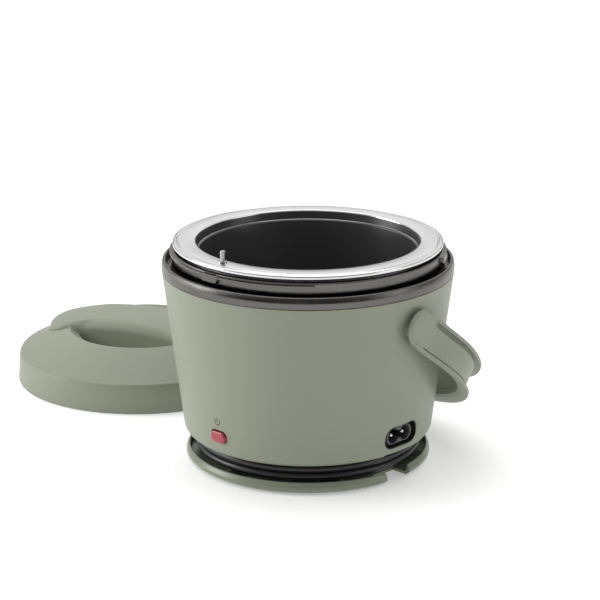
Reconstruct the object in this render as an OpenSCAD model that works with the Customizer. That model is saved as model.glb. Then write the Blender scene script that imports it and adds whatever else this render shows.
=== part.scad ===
// Electric lunch box: a tapered green body with a heated well, a lift-out food
// container, a twist-on lid with a grip bar, a folding bail handle, a cord wound on
// a spool under the body, and a base plate. The origin is on the body's axis, at the
// table. The power lamp faces -Y, the appliance inlet faces +X, and the handle is
// folded down at the back, +Y. The lid lies on the table beside the body.

/* [Body shell] */
// Outer diameter of the shell at its top edge
shell_top_d = 152.8; // [140:0.2:184]
// Outer diameter of the shell where its cone meets the rounded lower corner
shell_bottom_d = 132; // [120:0.5:140]
// Height of the shell's lower edge above the table
shell_bottom_z = 15.2; // [14:0.1:20]
// Height of the shell itself, from its lower edge to the trim band
shell_h = 87.4; // [84:0.2:106]
// Wall of the shell
shell_t = 2.4; // [1.8:0.1:3]
// Rounding of the shell's lower corner
shell_corner_r = 5; // [3:0.5:8]

/* [Collar and trim band] */
// Height of the trim band that shows above the shell
band_h = 6.2; // [4:0.1:10]
// Wall of the trim band at its lip
band_t = 1.7; // [1.2:0.1:2.5]
// Radial gap between the collar and the trim band, where it is dark
groove_w = 3.3; // [2:0.1:5]
// Height of the collar above the trim band's lip
collar_h = 6; // [6:0.1:12]
// Wall of the collar
collar_t = 2; // [1.5:0.1:3]
// How far the thin thread ridge stands proud of the collar
ridge_w = 1.2; // [0.6:0.1:1.4]
// How far a bayonet lug stands proud of the collar
lug_w = 1.9; // [1.5:0.1:2]
// Number of bayonet lugs round the collar and in the lid
lug_count = 3; // [2:1:4]

/* [Food container] */
// Diameter of the container's opening
container_open_d = 117; // [100:1:117]
// Diameter of the container's inside at its floor
container_floor_d = 104; // [84:1:105]
// Depth of the container below its rim
container_depth = 62; // [50:1:75]
// Sheet thickness of the container
container_t = 1.2; // [0.8:0.1:1.5]
// Rounding between the container's wall and floor
container_corner_r = 9; // [5:1:14]
// How far the container's rim stands inside the collar's outer edge
rim_inset = 0.5; // [0.2:0.1:1]
// Height of the rolled lip at the rim's edge
rim_lip_h = 2; // [1.5:0.1:3]
// Height of the locating pin on the rim
locating_pin_h = 6; // [3:0.5:8]
// Diameter of the locating pin
locating_pin_d = 2; // [1.5:0.1:3]

/* [Lid] */
// Height of the lid's upright skirt
lid_skirt_h = 15.5; // [15:0.5:22]
// Height of the lid's dome above the skirt, without the grip bar
lid_dome_h = 13.5; // [12.5:0.5:18]
// How far the grip bar's crown stands above the dome
grip_rise = 8.6; // [8:0.2:12]
// Length of the grip bar across the lid
grip_l = 124; // [110:1:128]
// Width of the grip bar
grip_w = 35; // [28:1:40]
// Wall of the lid
lid_t = 1.6; // [1.2:0.1:1.8]
// Where the lid lies on the table, from the body's axis
lid_x = -160.5; // [-240:0.5:-160]
// Where the lid lies on the table, towards the back
lid_y = 29; // [0:0.5:60]
// How far the lid is turned about its own axis
lid_turn = 18; // [0:1:60]

/* [Handle] */
// Height of the handle's pivots above the table
pivot_z = 86; // [78:0.5:92]
// How far the handle's arch stands out beyond the shell's top edge, at each side
handle_over = 7.1; // [6.1:0.1:14]
// How far the ears stand in from the arms' full width
ear_in = 3.5; // [0:0.5:4]
// How much longer the handle's reach is than the shell's radius at its top edge
reach_over = 30.6; // [29.6:0.2:41]
// Thickness of the handle's arms at the pivots
arm_t = 3.2; // [3.2:0.1:6]
// Thickness of the handle at the top of its arch
arch_t = 14; // [12:0.5:20]
// Width of the handle's band at the ears
ear_w = 20; // [19:0.5:24]
// Width of the handle's band at the top of its arch
crown_w = 17; // [14:0.5:20]
// Wall of the handle's two flanges
flange_t = 2.2; // [1.6:0.1:3]
// Thickness of the web between the flanges
web_t = 2.2; // [1.8:0.1:3]
// How far below level the folded handle points
fold_angle = 38.5; // [30:0.5:39]
// Diameter of a pivot pin
pivot_pin_d = 5; // [4:0.5:8]

/* [Base and cord store] */
// Outer diameter of the base plate
base_d = 130; // [124:1:140]
// Height of the base plate's rim above the table
base_rim_z = 6.8; // [6:0.1:8]
// Thickness of the base plate's floor
base_t = 2; // [1.5:0.1:2.2]
// Width of the notch in the base plate under the inlet
base_notch_w = 17; // [12:1:24]
// Diameter of the cord
cord_d = 4.4; // [3:0.1:4.4]
// Outer diameter of the spool's core
spool_d = 44; // [38:1:44]
// How far a rubber foot stands out below the base plate
foot_proud = 0.8; // [0.5:0.1:1.2]

/* [Inlet and lamp] */
// Height of the inlet's centre above the table
inlet_z = 26.2; // [26:0.2:34]
// Distance between the inlet's two pins
inlet_pin_pitch = 8.6; // [8:0.1:9]
// Diameter of an inlet pin
inlet_pin_d = 2.4; // [2:0.1:2.6]
// Height of the lamp's centre above the table
lamp_z = 26.6; // [25:0.5:36]
// Width of the lamp's lens
lens_w = 11; // [8:0.5:14]
// Height of the lamp's lens
lens_h = 7.4; // [6:0.2:9]

/* [Hidden] */
$fn = 96;

slip = 0.3;            // clearance between pieces that lift, slide or drop in
seat = 0.05;           // clearance between pieces that seat on each other
shell_green = [0.62, 0.65, 0.58];
gunmetal = [0.42, 0.41, 0.40];
polished = [0.84, 0.84, 0.84];
dark = [0.10, 0.10, 0.10];

// Shell, band and collar, upwards from the shell's lower edge
shell_top_z = shell_bottom_z + shell_h;
shell_top_r = shell_top_d / 2;
shell_low_r = shell_bottom_d / 2;
band_top_z = shell_top_z + band_h;
band_in_r = shell_top_r - 0.4 - band_t;
collar_r = band_in_r - groove_w;
collar_top_z = band_top_z + collar_h;
collar_ledge_t = 2.2;
collar_shelf_t = 1.6;
ridge_h = 1.7;
ridge_drop = 0.8;
lug_h = 4.4;
lug_arc = 9;
ridge_before = 58;
ridge_after = 46;

// Container, gasket and well, downwards from the rim
gasket_h = 1.3;
well_t = 1.2;
well_flange_z = collar_top_z;
rim_under_z = well_flange_z + well_t + gasket_h;
rim_top_z = rim_under_z + container_t;
rim_r = collar_r - rim_inset;
open_r = container_open_d / 2;
floor_r = container_floor_d / 2;
container_floor_z = rim_top_z - container_depth;
well_gap = 0.9;
well_open_r = open_r + container_t + well_gap;
well_floor_r = floor_r + container_t + well_gap;
well_floor_z = container_floor_z - container_t - slip;
collar_in_r = well_open_r + well_t + 1.2;

// Heater parts round and under the well
heater_low_z = well_floor_z + 7;
heater_h = 26;
heater_t = 1.6;
strap_t = 0.8;
sleeve_t = 3;
sleeve_gap = 0.6;
plate_t = 1.2;
plate_gap = 6;
plate_top_z = well_floor_z - well_t - plate_gap;
plate_r = well_floor_r - 6;

// Bottom cover and what stands on it
cover_z = shell_bottom_z + 0.3;
cover_t = 2;
cover_r = shell_low_r - shell_corner_r - 1.2;
standoff_ring_r = 40;
standoff_r = 3.5;
screw_r = 1.5;
screw_head_r = 2.8;
screw_head_h = 1.4;

// Base plate, spool and cord
base_r = base_d / 2;
base_rim_t = 2.2;
base_floor_z = foot_proud + base_t;
rib_count = 6;
rib_t = 1.2;
rib_top_z = 6;
notch_deep = 8.5;
spool_r = spool_d / 2;
spool_t = 2.5;
base_screw_ring_r = 13;
foot_ring_r = 54;
foot_r = 5;
foot_sunk = 0.8;
coil_layers = 2;
coil_turns = 2;
coil_out_r = base_r - base_rim_t - 1.2;
coil_low_z = rib_top_z + seat;
coil_in_r = coil_out_r - coil_layers * cord_d;
coil_h = coil_turns * cord_d;

// What is on the cord's two ends, lying in the store under the body
store_low_z = rib_top_z + seat;
connector_w = 15;
connector_h = 8.6;
connector_l = 30;
plug_w = 23;
plug_h = 8.8;
plug_l = 22;
blade_pitch = 12.7;
blade_w = 6.3;
blade_t = 1.5;
blade_l = 16;

// Inlet and lamp in the shell's wall
recess_w = 24;
recess_h = 14.6;
recess_x = 60.8;
tray_t = 1.8;
slot_w = 20;
slot_h = 1.3;
sleeve_wall = 1.4;
sleeve_bore_r = 4.3;
sleeve_front_x = recess_x + 3.6;
sleeve_back_x = recess_x - 12;
inlet_pin_tip_x = recess_x + 2.4;
lens_flange = 1.6;
lens_flange_t = 1.2;
lens_clear = 0.2;
lens_sunk = 0.5;
lamp_r = 2.6;
lamp_l = 12;

// Handle, in its own plane: u runs from the pivots to the arch, x across
handle_w = shell_top_d + 2 * handle_over;
handle_reach = shell_top_r + reach_over;
handle_r = handle_w / 2;
arm_in_x = handle_r - arm_t;
ear_out_x = handle_r - ear_in;
ear_in_x = ear_out_x - arm_t;
ear_steps = 4;
ear_run_from = 4;
ear_run_to = 44;
arch_start = handle_reach - handle_r;
arch_steps = 40;
boss_r = pivot_pin_d / 2 + 3.1;
washer_t = 0.5;
boss_x = ear_in_x - washer_t - 2 * seat;
pin_head_r = pivot_pin_d / 2 + 3.1;
pin_head_t = 1.1;
cap_r = ear_w / 2 - 1;
cap_t = 0.9;
step_r = ear_w / 2 - 0.4;
insert_t = 1.4;
insert_w = 11;
insert_from = 34;
clip_w = 3;
clip_l = 5;
clip_angle = 42;      // place of a clip, as an angle about the arch's own centre

// Lid, in its own frame
lid_r = shell_top_r - 1.4;
lid_in_r = lid_r - lid_t;
lid_crease_r = lid_r - 0.9;
lid_shoulder_r = 4;
lid_crown_z = lid_skirt_h + lid_dome_h;
lid_top_z = lid_crown_z + grip_rise;
lid_wall = 2.4;
seal_t = 2.4;
seal_z = rim_top_z - band_top_z - 0.3;
liner_t = 1.6;
liner_z = seal_z + seal_t;
liner_r = lid_crease_r - lid_wall - 0.8;
grip_sag = 11.6;
scoop_l = 108;
scoop_out = 49;
scoop_floor_z = lid_skirt_h + 3.5;
scoop_wall = 1.8;

// Points of an arc of radius r about [cx, cy], from angle a0 to a1
function arc(cx, cy, r, a0, a1, n) =
    [for (i = [0:n]) let (a = a0 + (a1 - a0) * i / n) [cx + r * cos(a), cy + r * sin(a)]];

// Radius of the shell's outside at a height above its rounded lower corner
function shell_r(z) = shell_low_r + (shell_top_r - shell_low_r)
    * (z - shell_bottom_z - shell_corner_r) / (shell_h - shell_corner_r);

// How far from the axis the lens's flange lies: just inside the shell's curved and
// tapered wall, where the flange's lower corners come nearest to it
lens_seat_y = sqrt(pow(shell_r(lamp_z - lens_h / 2 - lens_flange) - shell_t, 2)
    - pow(lens_w / 2 + lens_flange, 2)) - lens_clear;
lens_back_y = lens_seat_y - lens_flange_t;

// Radius of the container's inside and of the well's inside at a height
function container_r(z) = floor_r + (open_r - floor_r) * (z - container_floor_z) / container_depth;
function well_r(z) = well_floor_r
    + (well_open_r - well_floor_r) * (z - well_floor_z) / (well_flange_z + well_t - well_floor_z);

module ring(r_out, r_in, z, h) {
    translate([0, 0, z]) difference() {
        cylinder(r = r_out, h = h);
        translate([0, 0, -1]) cylinder(r = r_in, h = h + 2);
    }
}

// A slice of a ring between two angles
module ring_arc(r_out, r_in, z, h, from, to) {
    translate([0, 0, z]) rotate([0, 0, from]) rotate_extrude(angle = to - from)
        translate([r_in, 0]) square([r_out - r_in, h]);
}

// A flat plate outline, w by h with corner radius r, centred
module rounded(w, h, r) {
    square([w - 2 * r, h], center = true);
    square([w, h - 2 * r], center = true);
    for (sx = [-1, 1], sy = [-1, 1])
        translate([sx * (w / 2 - r), sy * (h / 2 - r)]) circle(r = r, $fn = 48);
}

// Stands a flat outline up so that it is extruded along +X, from x0 to x1
module along_x(x0, x1) {
    translate([x0, 0, 0]) rotate([90, 0, 90]) linear_extrude(x1 - x0) children();
}

module round_bar(r, l) {
    cylinder(r = r, h = l, $fn = 48);
}

// ---- Body shell and its top ----

module shell_solid(inset) {
    r = shell_corner_r;
    rotate_extrude() polygon(concat(
        [[0, shell_bottom_z + inset]],
        arc(shell_low_r - r, shell_bottom_z + r, r - inset, -90, 0, 8),
        [[shell_top_r - inset, shell_top_z + (inset > 0 ? 1 : 0)],
         [0, shell_top_z + (inset > 0 ? 1 : 0)]]
    ));
}

module inlet_recess(grow, x0) {
    translate([0, 0, inlet_z]) along_x(x0, shell_top_r + 5)
        rounded(recess_w + 2 * grow, recess_h + 2 * grow, recess_h / 2 - 1.2 + grow);
}

module stadium(w, h) {
    rounded(w, h, h / 2 - 0.01);
}

module figure_eight(r) {
    for (s = [-1, 1]) translate([s * inlet_pin_pitch / 2, 0]) circle(r = r, $fn = 48);
    square([inlet_pin_pitch * 0.5, 2 * r * 0.52], center = true);
}

module sleeve_outline(grow) {
    r = sleeve_bore_r + sleeve_wall + grow;
    rounded(inlet_pin_pitch + 2 * r, 2 * r, r - 0.01);
}

module at_front(z) {
    translate([0, 0, z]) rotate([90, 0, 0]) children();
}

module pivot_boss(side) {
    translate([side * (shell_r(pivot_z) - shell_t), 0, pivot_z]) rotate([0, side * 90, 0])
        cylinder(r = boss_r, h = boss_x - shell_r(pivot_z) + shell_t);
}

module outer_shell() {
    color(shell_green) difference() {
        union() {
            difference() {
                shell_solid(0);
                shell_solid(shell_t);
            }
            intersection() {
                shell_solid(0);
                inlet_recess(tray_t, recess_x - tray_t);
            }
            for (side = [-1, 1]) pivot_boss(side);
        }
        translate([0, 0, shell_bottom_z - 1]) cylinder(r = cover_r + slip, h = cover_t + 1.6);
        translate([cover_r - 5, -slot_w / 2, shell_bottom_z - 1]) cube([20, slot_w, 1 + slot_h]);
        inlet_recess(0, recess_x);
        translate([0, 0, inlet_z]) along_x(recess_x - tray_t - 1, recess_x + 1) sleeve_outline(0.2);
        at_front(lamp_z) linear_extrude(shell_top_r) stadium(lens_w, lens_h);
        for (side = [-1, 1]) translate([side * 40, 0, pivot_z]) rotate([0, side * 90, 0])
            cylinder(r = pivot_pin_d / 2 + seat, h = shell_top_r, $fn = 48);
    }
}

module trim_band() {
    lip = 0.8;
    foot_t = 1.2;
    foot_in_r = collar_r + 0.6;
    color(gunmetal) rotate_extrude() polygon(concat(
        [[foot_in_r, shell_top_z + seat], [shell_top_r, shell_top_z + seat]],
        arc(shell_top_r - 0.4 - lip, band_top_z - lip, lip, 0, 90, 5),
        [[band_in_r + 0.2, band_top_z], [band_in_r, band_top_z - 0.2],
         [band_in_r, shell_top_z + foot_t], [foot_in_r, shell_top_z + foot_t]]
    ));
}

module threaded_collar() {
    ledge_z = shell_top_z - collar_ledge_t;
    ledge_r = shell_r(ledge_z) - shell_t - slip;
    ridge_z = collar_top_z - ridge_drop - ridge_h;
    in_r = collar_r - collar_t;
    color(gunmetal) union() {
        rotate_extrude() polygon([
            [in_r, ledge_z], [ledge_r, ledge_z], [ledge_r, shell_top_z], [collar_r, shell_top_z],
            [collar_r, collar_top_z - 0.6], [collar_r - 0.6, collar_top_z],
            [collar_in_r, collar_top_z], [collar_in_r, collar_top_z - collar_shelf_t],
            [in_r, collar_top_z - collar_shelf_t]
        ]);
        for (i = [0:lug_count - 1]) {
            a = -90 + i * 360 / lug_count;
            ring_arc(collar_r + lug_w, collar_r - 1, collar_top_z - 0.3 - lug_h, lug_h,
                a - lug_arc / 2, a + lug_arc / 2);
            ring_arc(collar_r + ridge_w, collar_r - 1, ridge_z, ridge_h,
                a - ridge_before, a + ridge_after);
        }
    }
}

// ---- Heated well and what heats it ----

module heating_well() {
    r = container_corner_r;
    top_z = well_flange_z + seat + well_t;
    flange_r = collar_r - collar_t - 1;
    color([0.70, 0.70, 0.70]) rotate_extrude() polygon(concat(
        [[0, well_floor_z - well_t]],
        arc(well_floor_r + well_t - r, well_floor_z - well_t + r, r, -90, 0, 6),
        [[well_open_r + well_t, well_flange_z + seat], [flange_r, well_flange_z + seat],
         [flange_r, top_z], [well_open_r, top_z]],
        arc(well_floor_r - r + well_t, well_floor_z + r - well_t, r - well_t, 0, -90, 6),
        [[0, well_floor_z]]
    ));
}

module well_gasket() {
    color(dark) ring(well_open_r + 6.5, well_open_r + 1.5,
        well_flange_z + well_t + 2 * seat, gasket_h - 3 * seat);
}

// A sleeve that follows the well's taper, at a distance from its outside
module round_well(gap, t, z, h) {
    base = well_t + gap;
    rotate_extrude() polygon([
        [well_r(z) + base, z], [well_r(z) + base + t, z],
        [well_r(z + h) + base + t, z + h], [well_r(z + h) + base, z + h]
    ]);
}

module band_heater() {
    color([0.60, 0.52, 0.38]) round_well(seat, heater_t, heater_low_z, heater_h);
}

// A strap with two tabs at its gap. Both keep outside the tapered heater.
module heater_strap() {
    gap = seat + slip + heater_t;
    z = heater_low_z + 6;
    strap_h = 14;
    in_low = well_r(z - 1) + well_t + gap;
    in_high = well_r(z + strap_h + 1) + well_t + gap;
    color(polished) difference() {
        union() {
            round_well(gap, strap_t, z, strap_h);
            for (s = [-1, 1]) translate([in_low, s * 2.6 - 0.6, z]) cube([4, 1.2, strap_h]);
        }
        translate([0, -2, z - 1]) cube([200, 4, strap_h + 2]);
        rotate_extrude() polygon([
            [0, z - 1], [in_low, z - 1], [in_high, z + strap_h + 1], [0, z + strap_h + 1]
        ]);
    }
}

module insulation_sleeve() {
    gap = seat + slip + heater_t + strap_t + sleeve_gap;
    z = well_floor_z + 2;
    h = collar_top_z - collar_shelf_t - 1 - z;
    color([0.90, 0.88, 0.80]) difference() {
        round_well(gap, sleeve_t, z, h);
        translate([0, -6, z - 1]) cube([200, 12, h + 2]);
    }
}

module heater_plate() {
    color(polished) difference() {
        union() {
            translate([0, 0, plate_top_z - plate_t]) cylinder(r = plate_r, h = plate_t);
            for (i = [0:2]) rotate([0, 0, 90 + i * 120]) translate([plate_r - 8, 0, plate_top_z])
                cylinder(r = 2.5, h = plate_gap - seat, $fn = 48);
        }
        for (i = [0:2]) rotate([0, 0, 30 + i * 120]) translate([plate_r - 12, 0, plate_top_z - 5])
            cylinder(r = 5, h = 10, $fn = 48);
    }
}

module thermostat() {
    h = plate_gap - seat;
    color([0.25, 0.20, 0.17]) {
        translate([0, 0, plate_top_z + seat]) cylinder(r = 8, h = h - 2 * seat, $fn = 48);
        for (s = [-1, 1]) translate([s * 4 - 1.5, 8 - 1, plate_top_z + 2]) cube([3, 7, 0.8]);
    }
}

module thermal_fuse() {
    r = 2;
    color(polished) translate([-9, -18, plate_top_z + r + seat]) rotate([0, 90, 0]) {
        round_bar(r, 18);
        translate([0, 0, -6]) round_bar(0.5, 30);
    }
}

module standoff(i) {
    low = cover_z + cover_t + seat;
    color(polished) rotate([0, 0, 90 + i * 120]) translate([standoff_ring_r, 0, low])
        difference() {
            cylinder(r = standoff_r, h = plate_top_z - plate_t - seat - low, $fn = 48);
            translate([0, 0, -1]) cylinder(r = screw_r + seat, h = 11, $fn = 48);
        }
}

module cover_screw(i) {
    color(polished) rotate([0, 0, 90 + i * 120]) translate([standoff_ring_r, 0, cover_z + 0.1]) {
        cylinder(r = screw_head_r - 0.2, h = screw_head_h - 0.2, $fn = 48);
        cylinder(r = screw_r, h = cover_t + 8, $fn = 48);
    }
}

// ---- Bottom cover ----

module bottom_cover() {
    boss_h = 7;
    color(dark) difference() {
        union() {
            translate([0, 0, cover_z]) cylinder(r = cover_r, h = cover_t);
            for (i = [0:2]) rotate([0, 0, 30 + i * 120])
                translate([base_screw_ring_r, 0, cover_z]) cylinder(r = 3.6, h = cover_t + boss_h);
        }
        for (i = [0:2]) rotate([0, 0, 30 + i * 120])
            translate([base_screw_ring_r, 0, cover_z - 1])
                cylinder(r = screw_r + seat, h = cover_t + boss_h - 1, $fn = 48);
        for (i = [0:2]) rotate([0, 0, 90 + i * 120]) translate([standoff_ring_r, 0, cover_z - 1]) {
            cylinder(r = screw_head_r, h = 1 + screw_head_h, $fn = 48);
            cylinder(r = screw_r + seat, h = cover_t + 2, $fn = 48);
        }
    }
}

// ---- Inlet ----

module inlet_housing() {
    flange_x = recess_x - tray_t - seat;
    color(dark) difference() {
        union() {
            translate([0, 0, inlet_z]) along_x(sleeve_back_x, sleeve_front_x) sleeve_outline(0);
            translate([0, 0, inlet_z]) along_x(flange_x - 2, flange_x)
                rounded(recess_w, recess_h - 2, 3);
        }
        translate([0, 0, inlet_z]) along_x(sleeve_back_x + 2, sleeve_front_x + 1)
            figure_eight(sleeve_bore_r);
        for (s = [-1, 1]) translate([sleeve_back_x - 1, s * inlet_pin_pitch / 2, inlet_z])
            rotate([0, 90, 0]) cylinder(r = inlet_pin_d / 2 + seat, h = 4, $fn = 48);
    }
}

module inlet_pin(s) {
    r = inlet_pin_d / 2;
    from_x = sleeve_back_x - 4;
    color(polished) translate([from_x, s * inlet_pin_pitch / 2, inlet_z]) rotate([0, 90, 0]) {
        cylinder(r = r, h = inlet_pin_tip_x - from_x - r, $fn = 48);
        translate([0, 0, inlet_pin_tip_x - from_x - r]) sphere(r = r, $fn = 48);
    }
}

// Two insulated leads rise from the inlet's pins towards the heater
module inlet_leads() {
    lead_r = 1.1;
    bend_r = 6;
    x = sleeve_back_x - 4 - seat;
    rise = plate_top_z - plate_t - 2 - inlet_z - bend_r;
    color([0.75, 0.72, 0.68]) for (s = [-1, 1])
        translate([x, s * inlet_pin_pitch / 2, inlet_z]) {
            translate([0, 0, bend_r]) rotate([-90, 0, 0]) rotate([0, 0, 90])
                rotate_extrude(angle = 90) translate([bend_r, 0]) circle(r = lead_r, $fn = 24);
            translate([-bend_r, 0, bend_r]) cylinder(r = lead_r, h = rise, $fn = 24);
        }
}

// ---- Power lamp ----

module power_lens() {
    face_y = shell_r(lamp_z) - lens_sunk;
    color([0.72, 0.10, 0.16]) at_front(lamp_z) {
        translate([0, 0, lens_back_y]) linear_extrude(lens_flange_t)
            rounded(lens_w + 2 * lens_flange, lens_h + 2 * lens_flange, 3);
        translate([0, 0, lens_back_y]) linear_extrude(face_y - lens_back_y)
            stadium(lens_w - 0.2, lens_h - 0.2);
    }
}

module pilot_lamp() {
    y = lens_back_y - lamp_r - seat;
    color([0.95, 0.60, 0.45]) translate([-lamp_l / 2, -y, lamp_z]) rotate([0, 90, 0]) {
        cylinder(r = lamp_r, h = lamp_l - lamp_r, $fn = 48);
        translate([0, 0, lamp_l - lamp_r]) sphere(r = lamp_r, $fn = 48);
    }
}

module lamp_holder() {
    y = lens_back_y - 2 * lamp_r - 2 * seat;
    low = cover_z + cover_t + seat;
    color(dark) {
        translate([-5, -y, low]) cube([10, 1.6, lamp_z + 3 - low]);
        translate([-5, -y, low]) cube([10, 7, 1.4]);
    }
}

// ---- Base plate and cord spool ----

module cord_spool() {
    low = base_floor_z + seat;
    h = cover_z - seat - low;
    color(dark) union() {
        ring(spool_r, spool_r - spool_t, low, h);
        difference() {
            translate([0, 0, low]) cylinder(r = spool_r, h = spool_t);
            for (i = [0:2]) rotate([0, 0, 30 + i * 120])
                translate([base_screw_ring_r, 0, 0]) cylinder(r = screw_r + slip, h = 20, $fn = 48);
        }
    }
}

module base_plate() {
    in_r = base_r - base_rim_t;
    notch_x = base_r - notch_deep;
    color(shell_green) difference() {
        union() {
            rotate_extrude() polygon([
                [0, foot_proud], [base_r - 2, foot_proud], [base_r, foot_proud + 1.6],
                [base_r, base_rim_z - 0.7], [base_r - 0.7, base_rim_z],
                [in_r + 0.5, base_rim_z], [in_r, base_rim_z - 0.5],
                [in_r, base_floor_z + 0.8], [in_r - 0.8, base_floor_z], [0, base_floor_z]
            ]);
            for (i = [0:rib_count - 1]) rotate([0, 0, 30 + i * 360 / rib_count])
                translate([spool_r + 1, -rib_t / 2, base_floor_z - 0.5])
                    cube([in_r - spool_r - 0.5, rib_t, rib_top_z - base_floor_z + 0.5]);
        }
        translate([notch_x + 3, -base_notch_w / 2, -1]) cube([base_r, base_notch_w, 20]);
        translate([notch_x, -base_notch_w / 2 + 3, -1]) cube([base_r, base_notch_w - 6, 20]);
        for (s = [-1, 1]) translate([notch_x + 3, s * (base_notch_w / 2 - 3), -1])
            cylinder(r = 3, h = 20, $fn = 48);
        for (i = [0:3]) rotate([0, 0, 45 + i * 90]) translate([foot_ring_r, 0, -1])
            cylinder(r = foot_r + slip, h = foot_proud + foot_sunk + 1, $fn = 48);
        translate([0, 0, -1]) cylinder(r = foot_r + slip, h = foot_proud + foot_sunk + 1, $fn = 48);
        for (i = [0:2]) rotate([0, 0, 30 + i * 120]) translate([base_screw_ring_r, 0, -1])
            cylinder(r = screw_r + seat, h = 20, $fn = 48);
    }
}

module base_screw(i) {
    head_z = foot_proud - 0.7;
    color(polished) rotate([0, 0, 30 + i * 120]) translate([base_screw_ring_r, 0, 0]) {
        translate([0, 0, head_z]) cylinder(r = screw_head_r, h = 0.7 - seat, $fn = 48);
        translate([0, 0, head_z]) cylinder(r = screw_r, h = cover_z + cover_t + 4 - head_z, $fn = 48);
    }
}

module foot(r, a) {
    color([0.15, 0.15, 0.15]) rotate([0, 0, a]) translate([r, 0, 0])
        cylinder(r = foot_r, h = foot_proud + foot_sunk - seat);
}

// ---- Pivots ----

module pivot_pin(side) {
    from_x = shell_r(pivot_z) - shell_t - 3.2;
    head_x = ear_out_x - cap_t - seat - pin_head_t;
    color(polished) translate([side * from_x, 0, pivot_z]) rotate([0, side * 90, 0]) {
        cylinder(r = pivot_pin_d / 2, h = head_x + pin_head_t - seat - from_x, $fn = 48);
        translate([0, 0, head_x + seat - from_x])
            cylinder(r = pin_head_r, h = pin_head_t - 2 * seat, $fn = 48);
        cylinder(r = pivot_pin_d / 2 + 2, h = 1.6, $fn = 48);
    }
}

module pivot_washer(side) {
    color(dark) translate([side * (boss_x + seat), 0, pivot_z]) rotate([0, side * 90, 0])
        difference() {
            cylinder(r = boss_r - 0.3, h = washer_t);
            translate([0, 0, -1]) cylinder(r = pivot_pin_d / 2 + 2 * seat, h = washer_t + 2, $fn = 48);
        }
}

// ---- Handle ----

// Lays the handle's own plane down to its folded place: [x, u] with n as thickness
module folded() {
    translate([0, 0, pivot_z]) rotate([-fold_angle, 0, 0]) children();
}

// How far an arm stands in from its full width at a distance u from the pivots
function stand_in(u) =
    let (t = min(1, max(0, (u - ear_run_from) / (ear_run_to - ear_run_from))))
    ear_in * (1 - t * t * (3 - 2 * t));

// Points of an arch of half width rx whose top is at reach, as [x, u]
function arch(rx, reach) = [
    for (i = [0:arch_steps]) let (
        a = 180 * i / arch_steps,
        u = arch_start + (reach - arch_start) * sin(a)
    ) [rx * cos(a) - stand_in(u) * (a < 90 ? 1 : -1), u]
];

// One side's run from the ear to the start of the arch, as [x, u]
function ear_run(rx) = [
    for (i = [0:ear_steps - 1]) let (u = ear_run_from + (arch_start - ear_run_from) * i / ear_steps)
        [rx - stand_in(u), u]
];

module arch_outline(rx, reach, tail) {
    side = concat([[rx - ear_in, -tail]], ear_run(rx));
    polygon(concat(side, arch(rx, reach),
        [for (i = [len(side) - 1:-1:0]) [-side[i][0], side[i][1]]]));
}

// The band's width seen from the side, round at the ears and narrower at the crown
module band_side(inset) {
    r = ear_w / 2 - inset;
    tip = crown_w / 2 - inset;
    rotate([90, 0, 90]) linear_extrude(2 * handle_w, center = true) polygon(concat(
        arc(0, 0, r, 90, 270, 24),
        [[handle_reach + 5, -tip], [handle_reach + 5, tip]]
    ));
}

module arch_band(rx_out, reach_out, rx_in, reach_in) {
    linear_extrude(2 * ear_w, center = true) difference() {
        arch_outline(rx_out, reach_out, ear_w);
        arch_outline(rx_in, reach_in, 2 * ear_w);
    }
}

module handle() {
    reach_in = handle_reach - arch_t;
    color(shell_green) folded() difference() {
        intersection() {
            arch_band(handle_r, handle_reach, arm_in_x, reach_in);
            band_side(0);
        }
        // The channel between the two flanges, open to the outside, starts at the ears
        difference() {
            intersection() {
                arch_band(handle_w, 2 * handle_reach, arm_in_x + web_t, reach_in + web_t);
                band_side(flange_t);
                translate([-handle_w, 0, -ear_w])
                    cube([2 * handle_w, handle_reach * 2, 2 * ear_w]);
            }
            rotate([0, 90, 0]) cylinder(r = step_r, h = 3 * handle_w, center = true);
        }
        // Seat for the insert on the inside of the arch
        intersection() {
            arch_band(arm_in_x + insert_t, reach_in + insert_t, arm_in_x - 5, reach_in - 5);
            translate([-handle_w, insert_from - 0.2, -insert_w / 2 - 0.2])
                cube([2 * handle_w, handle_reach, insert_w + 0.4]);
        }
        for (side = [-1, 1]) translate([side * ear_in_x, 0, 0]) rotate([0, side * 90, 0]) {
            translate([0, 0, -5]) cylinder(r = pivot_pin_d / 2 + 0.08, h = arm_t + 10, $fn = 48);
            translate([0, 0, arm_t - cap_t - pin_head_t - seat])
                cylinder(r = pin_head_r + slip, h = cap_t + pin_head_t + 5);
            translate([0, 0, arm_t - cap_t]) cylinder(r = cap_r + 0.1, h = cap_t + 5);
        }
        for (side = [-1, 1]) clip_notch(side, 0.2);
    }
}

// One clip's notch in the band's lower edge, on the inside of the arch
module clip_notch(side, grow) {
    x = side * (arm_in_x * cos(clip_angle));
    u = arch_start + (handle_reach - arch_t - arch_start) * sin(clip_angle);
    translate([x, u, 0]) rotate([0, 0, side * (clip_angle - 90) ])
        translate([-clip_l / 2 - grow, -1, -ear_w / 2 - 1])
            cube([clip_l + 2 * grow, clip_w + 1 + grow, ear_w / 2 - insert_w / 2 + 1 + grow]);
}

module grip_insert() {
    reach_in = handle_reach - arch_t;
    color([0.60, 0.63, 0.56]) folded() intersection() {
        arch_band(arm_in_x + insert_t - 2 * seat, reach_in + insert_t - 2 * seat,
            arm_in_x + 2 * seat, reach_in + 2 * seat);
        translate([-handle_w, insert_from, -insert_w / 2])
            cube([2 * handle_w, handle_reach, insert_w]);
    }
}

module ear_cap(side) {
    color(shell_green) translate([side * (ear_out_x - cap_t + seat), 0, pivot_z])
        rotate([0, side * 90, 0]) cylinder(r = cap_r, h = cap_t - seat);
}

// ---- Food container ----

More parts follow.
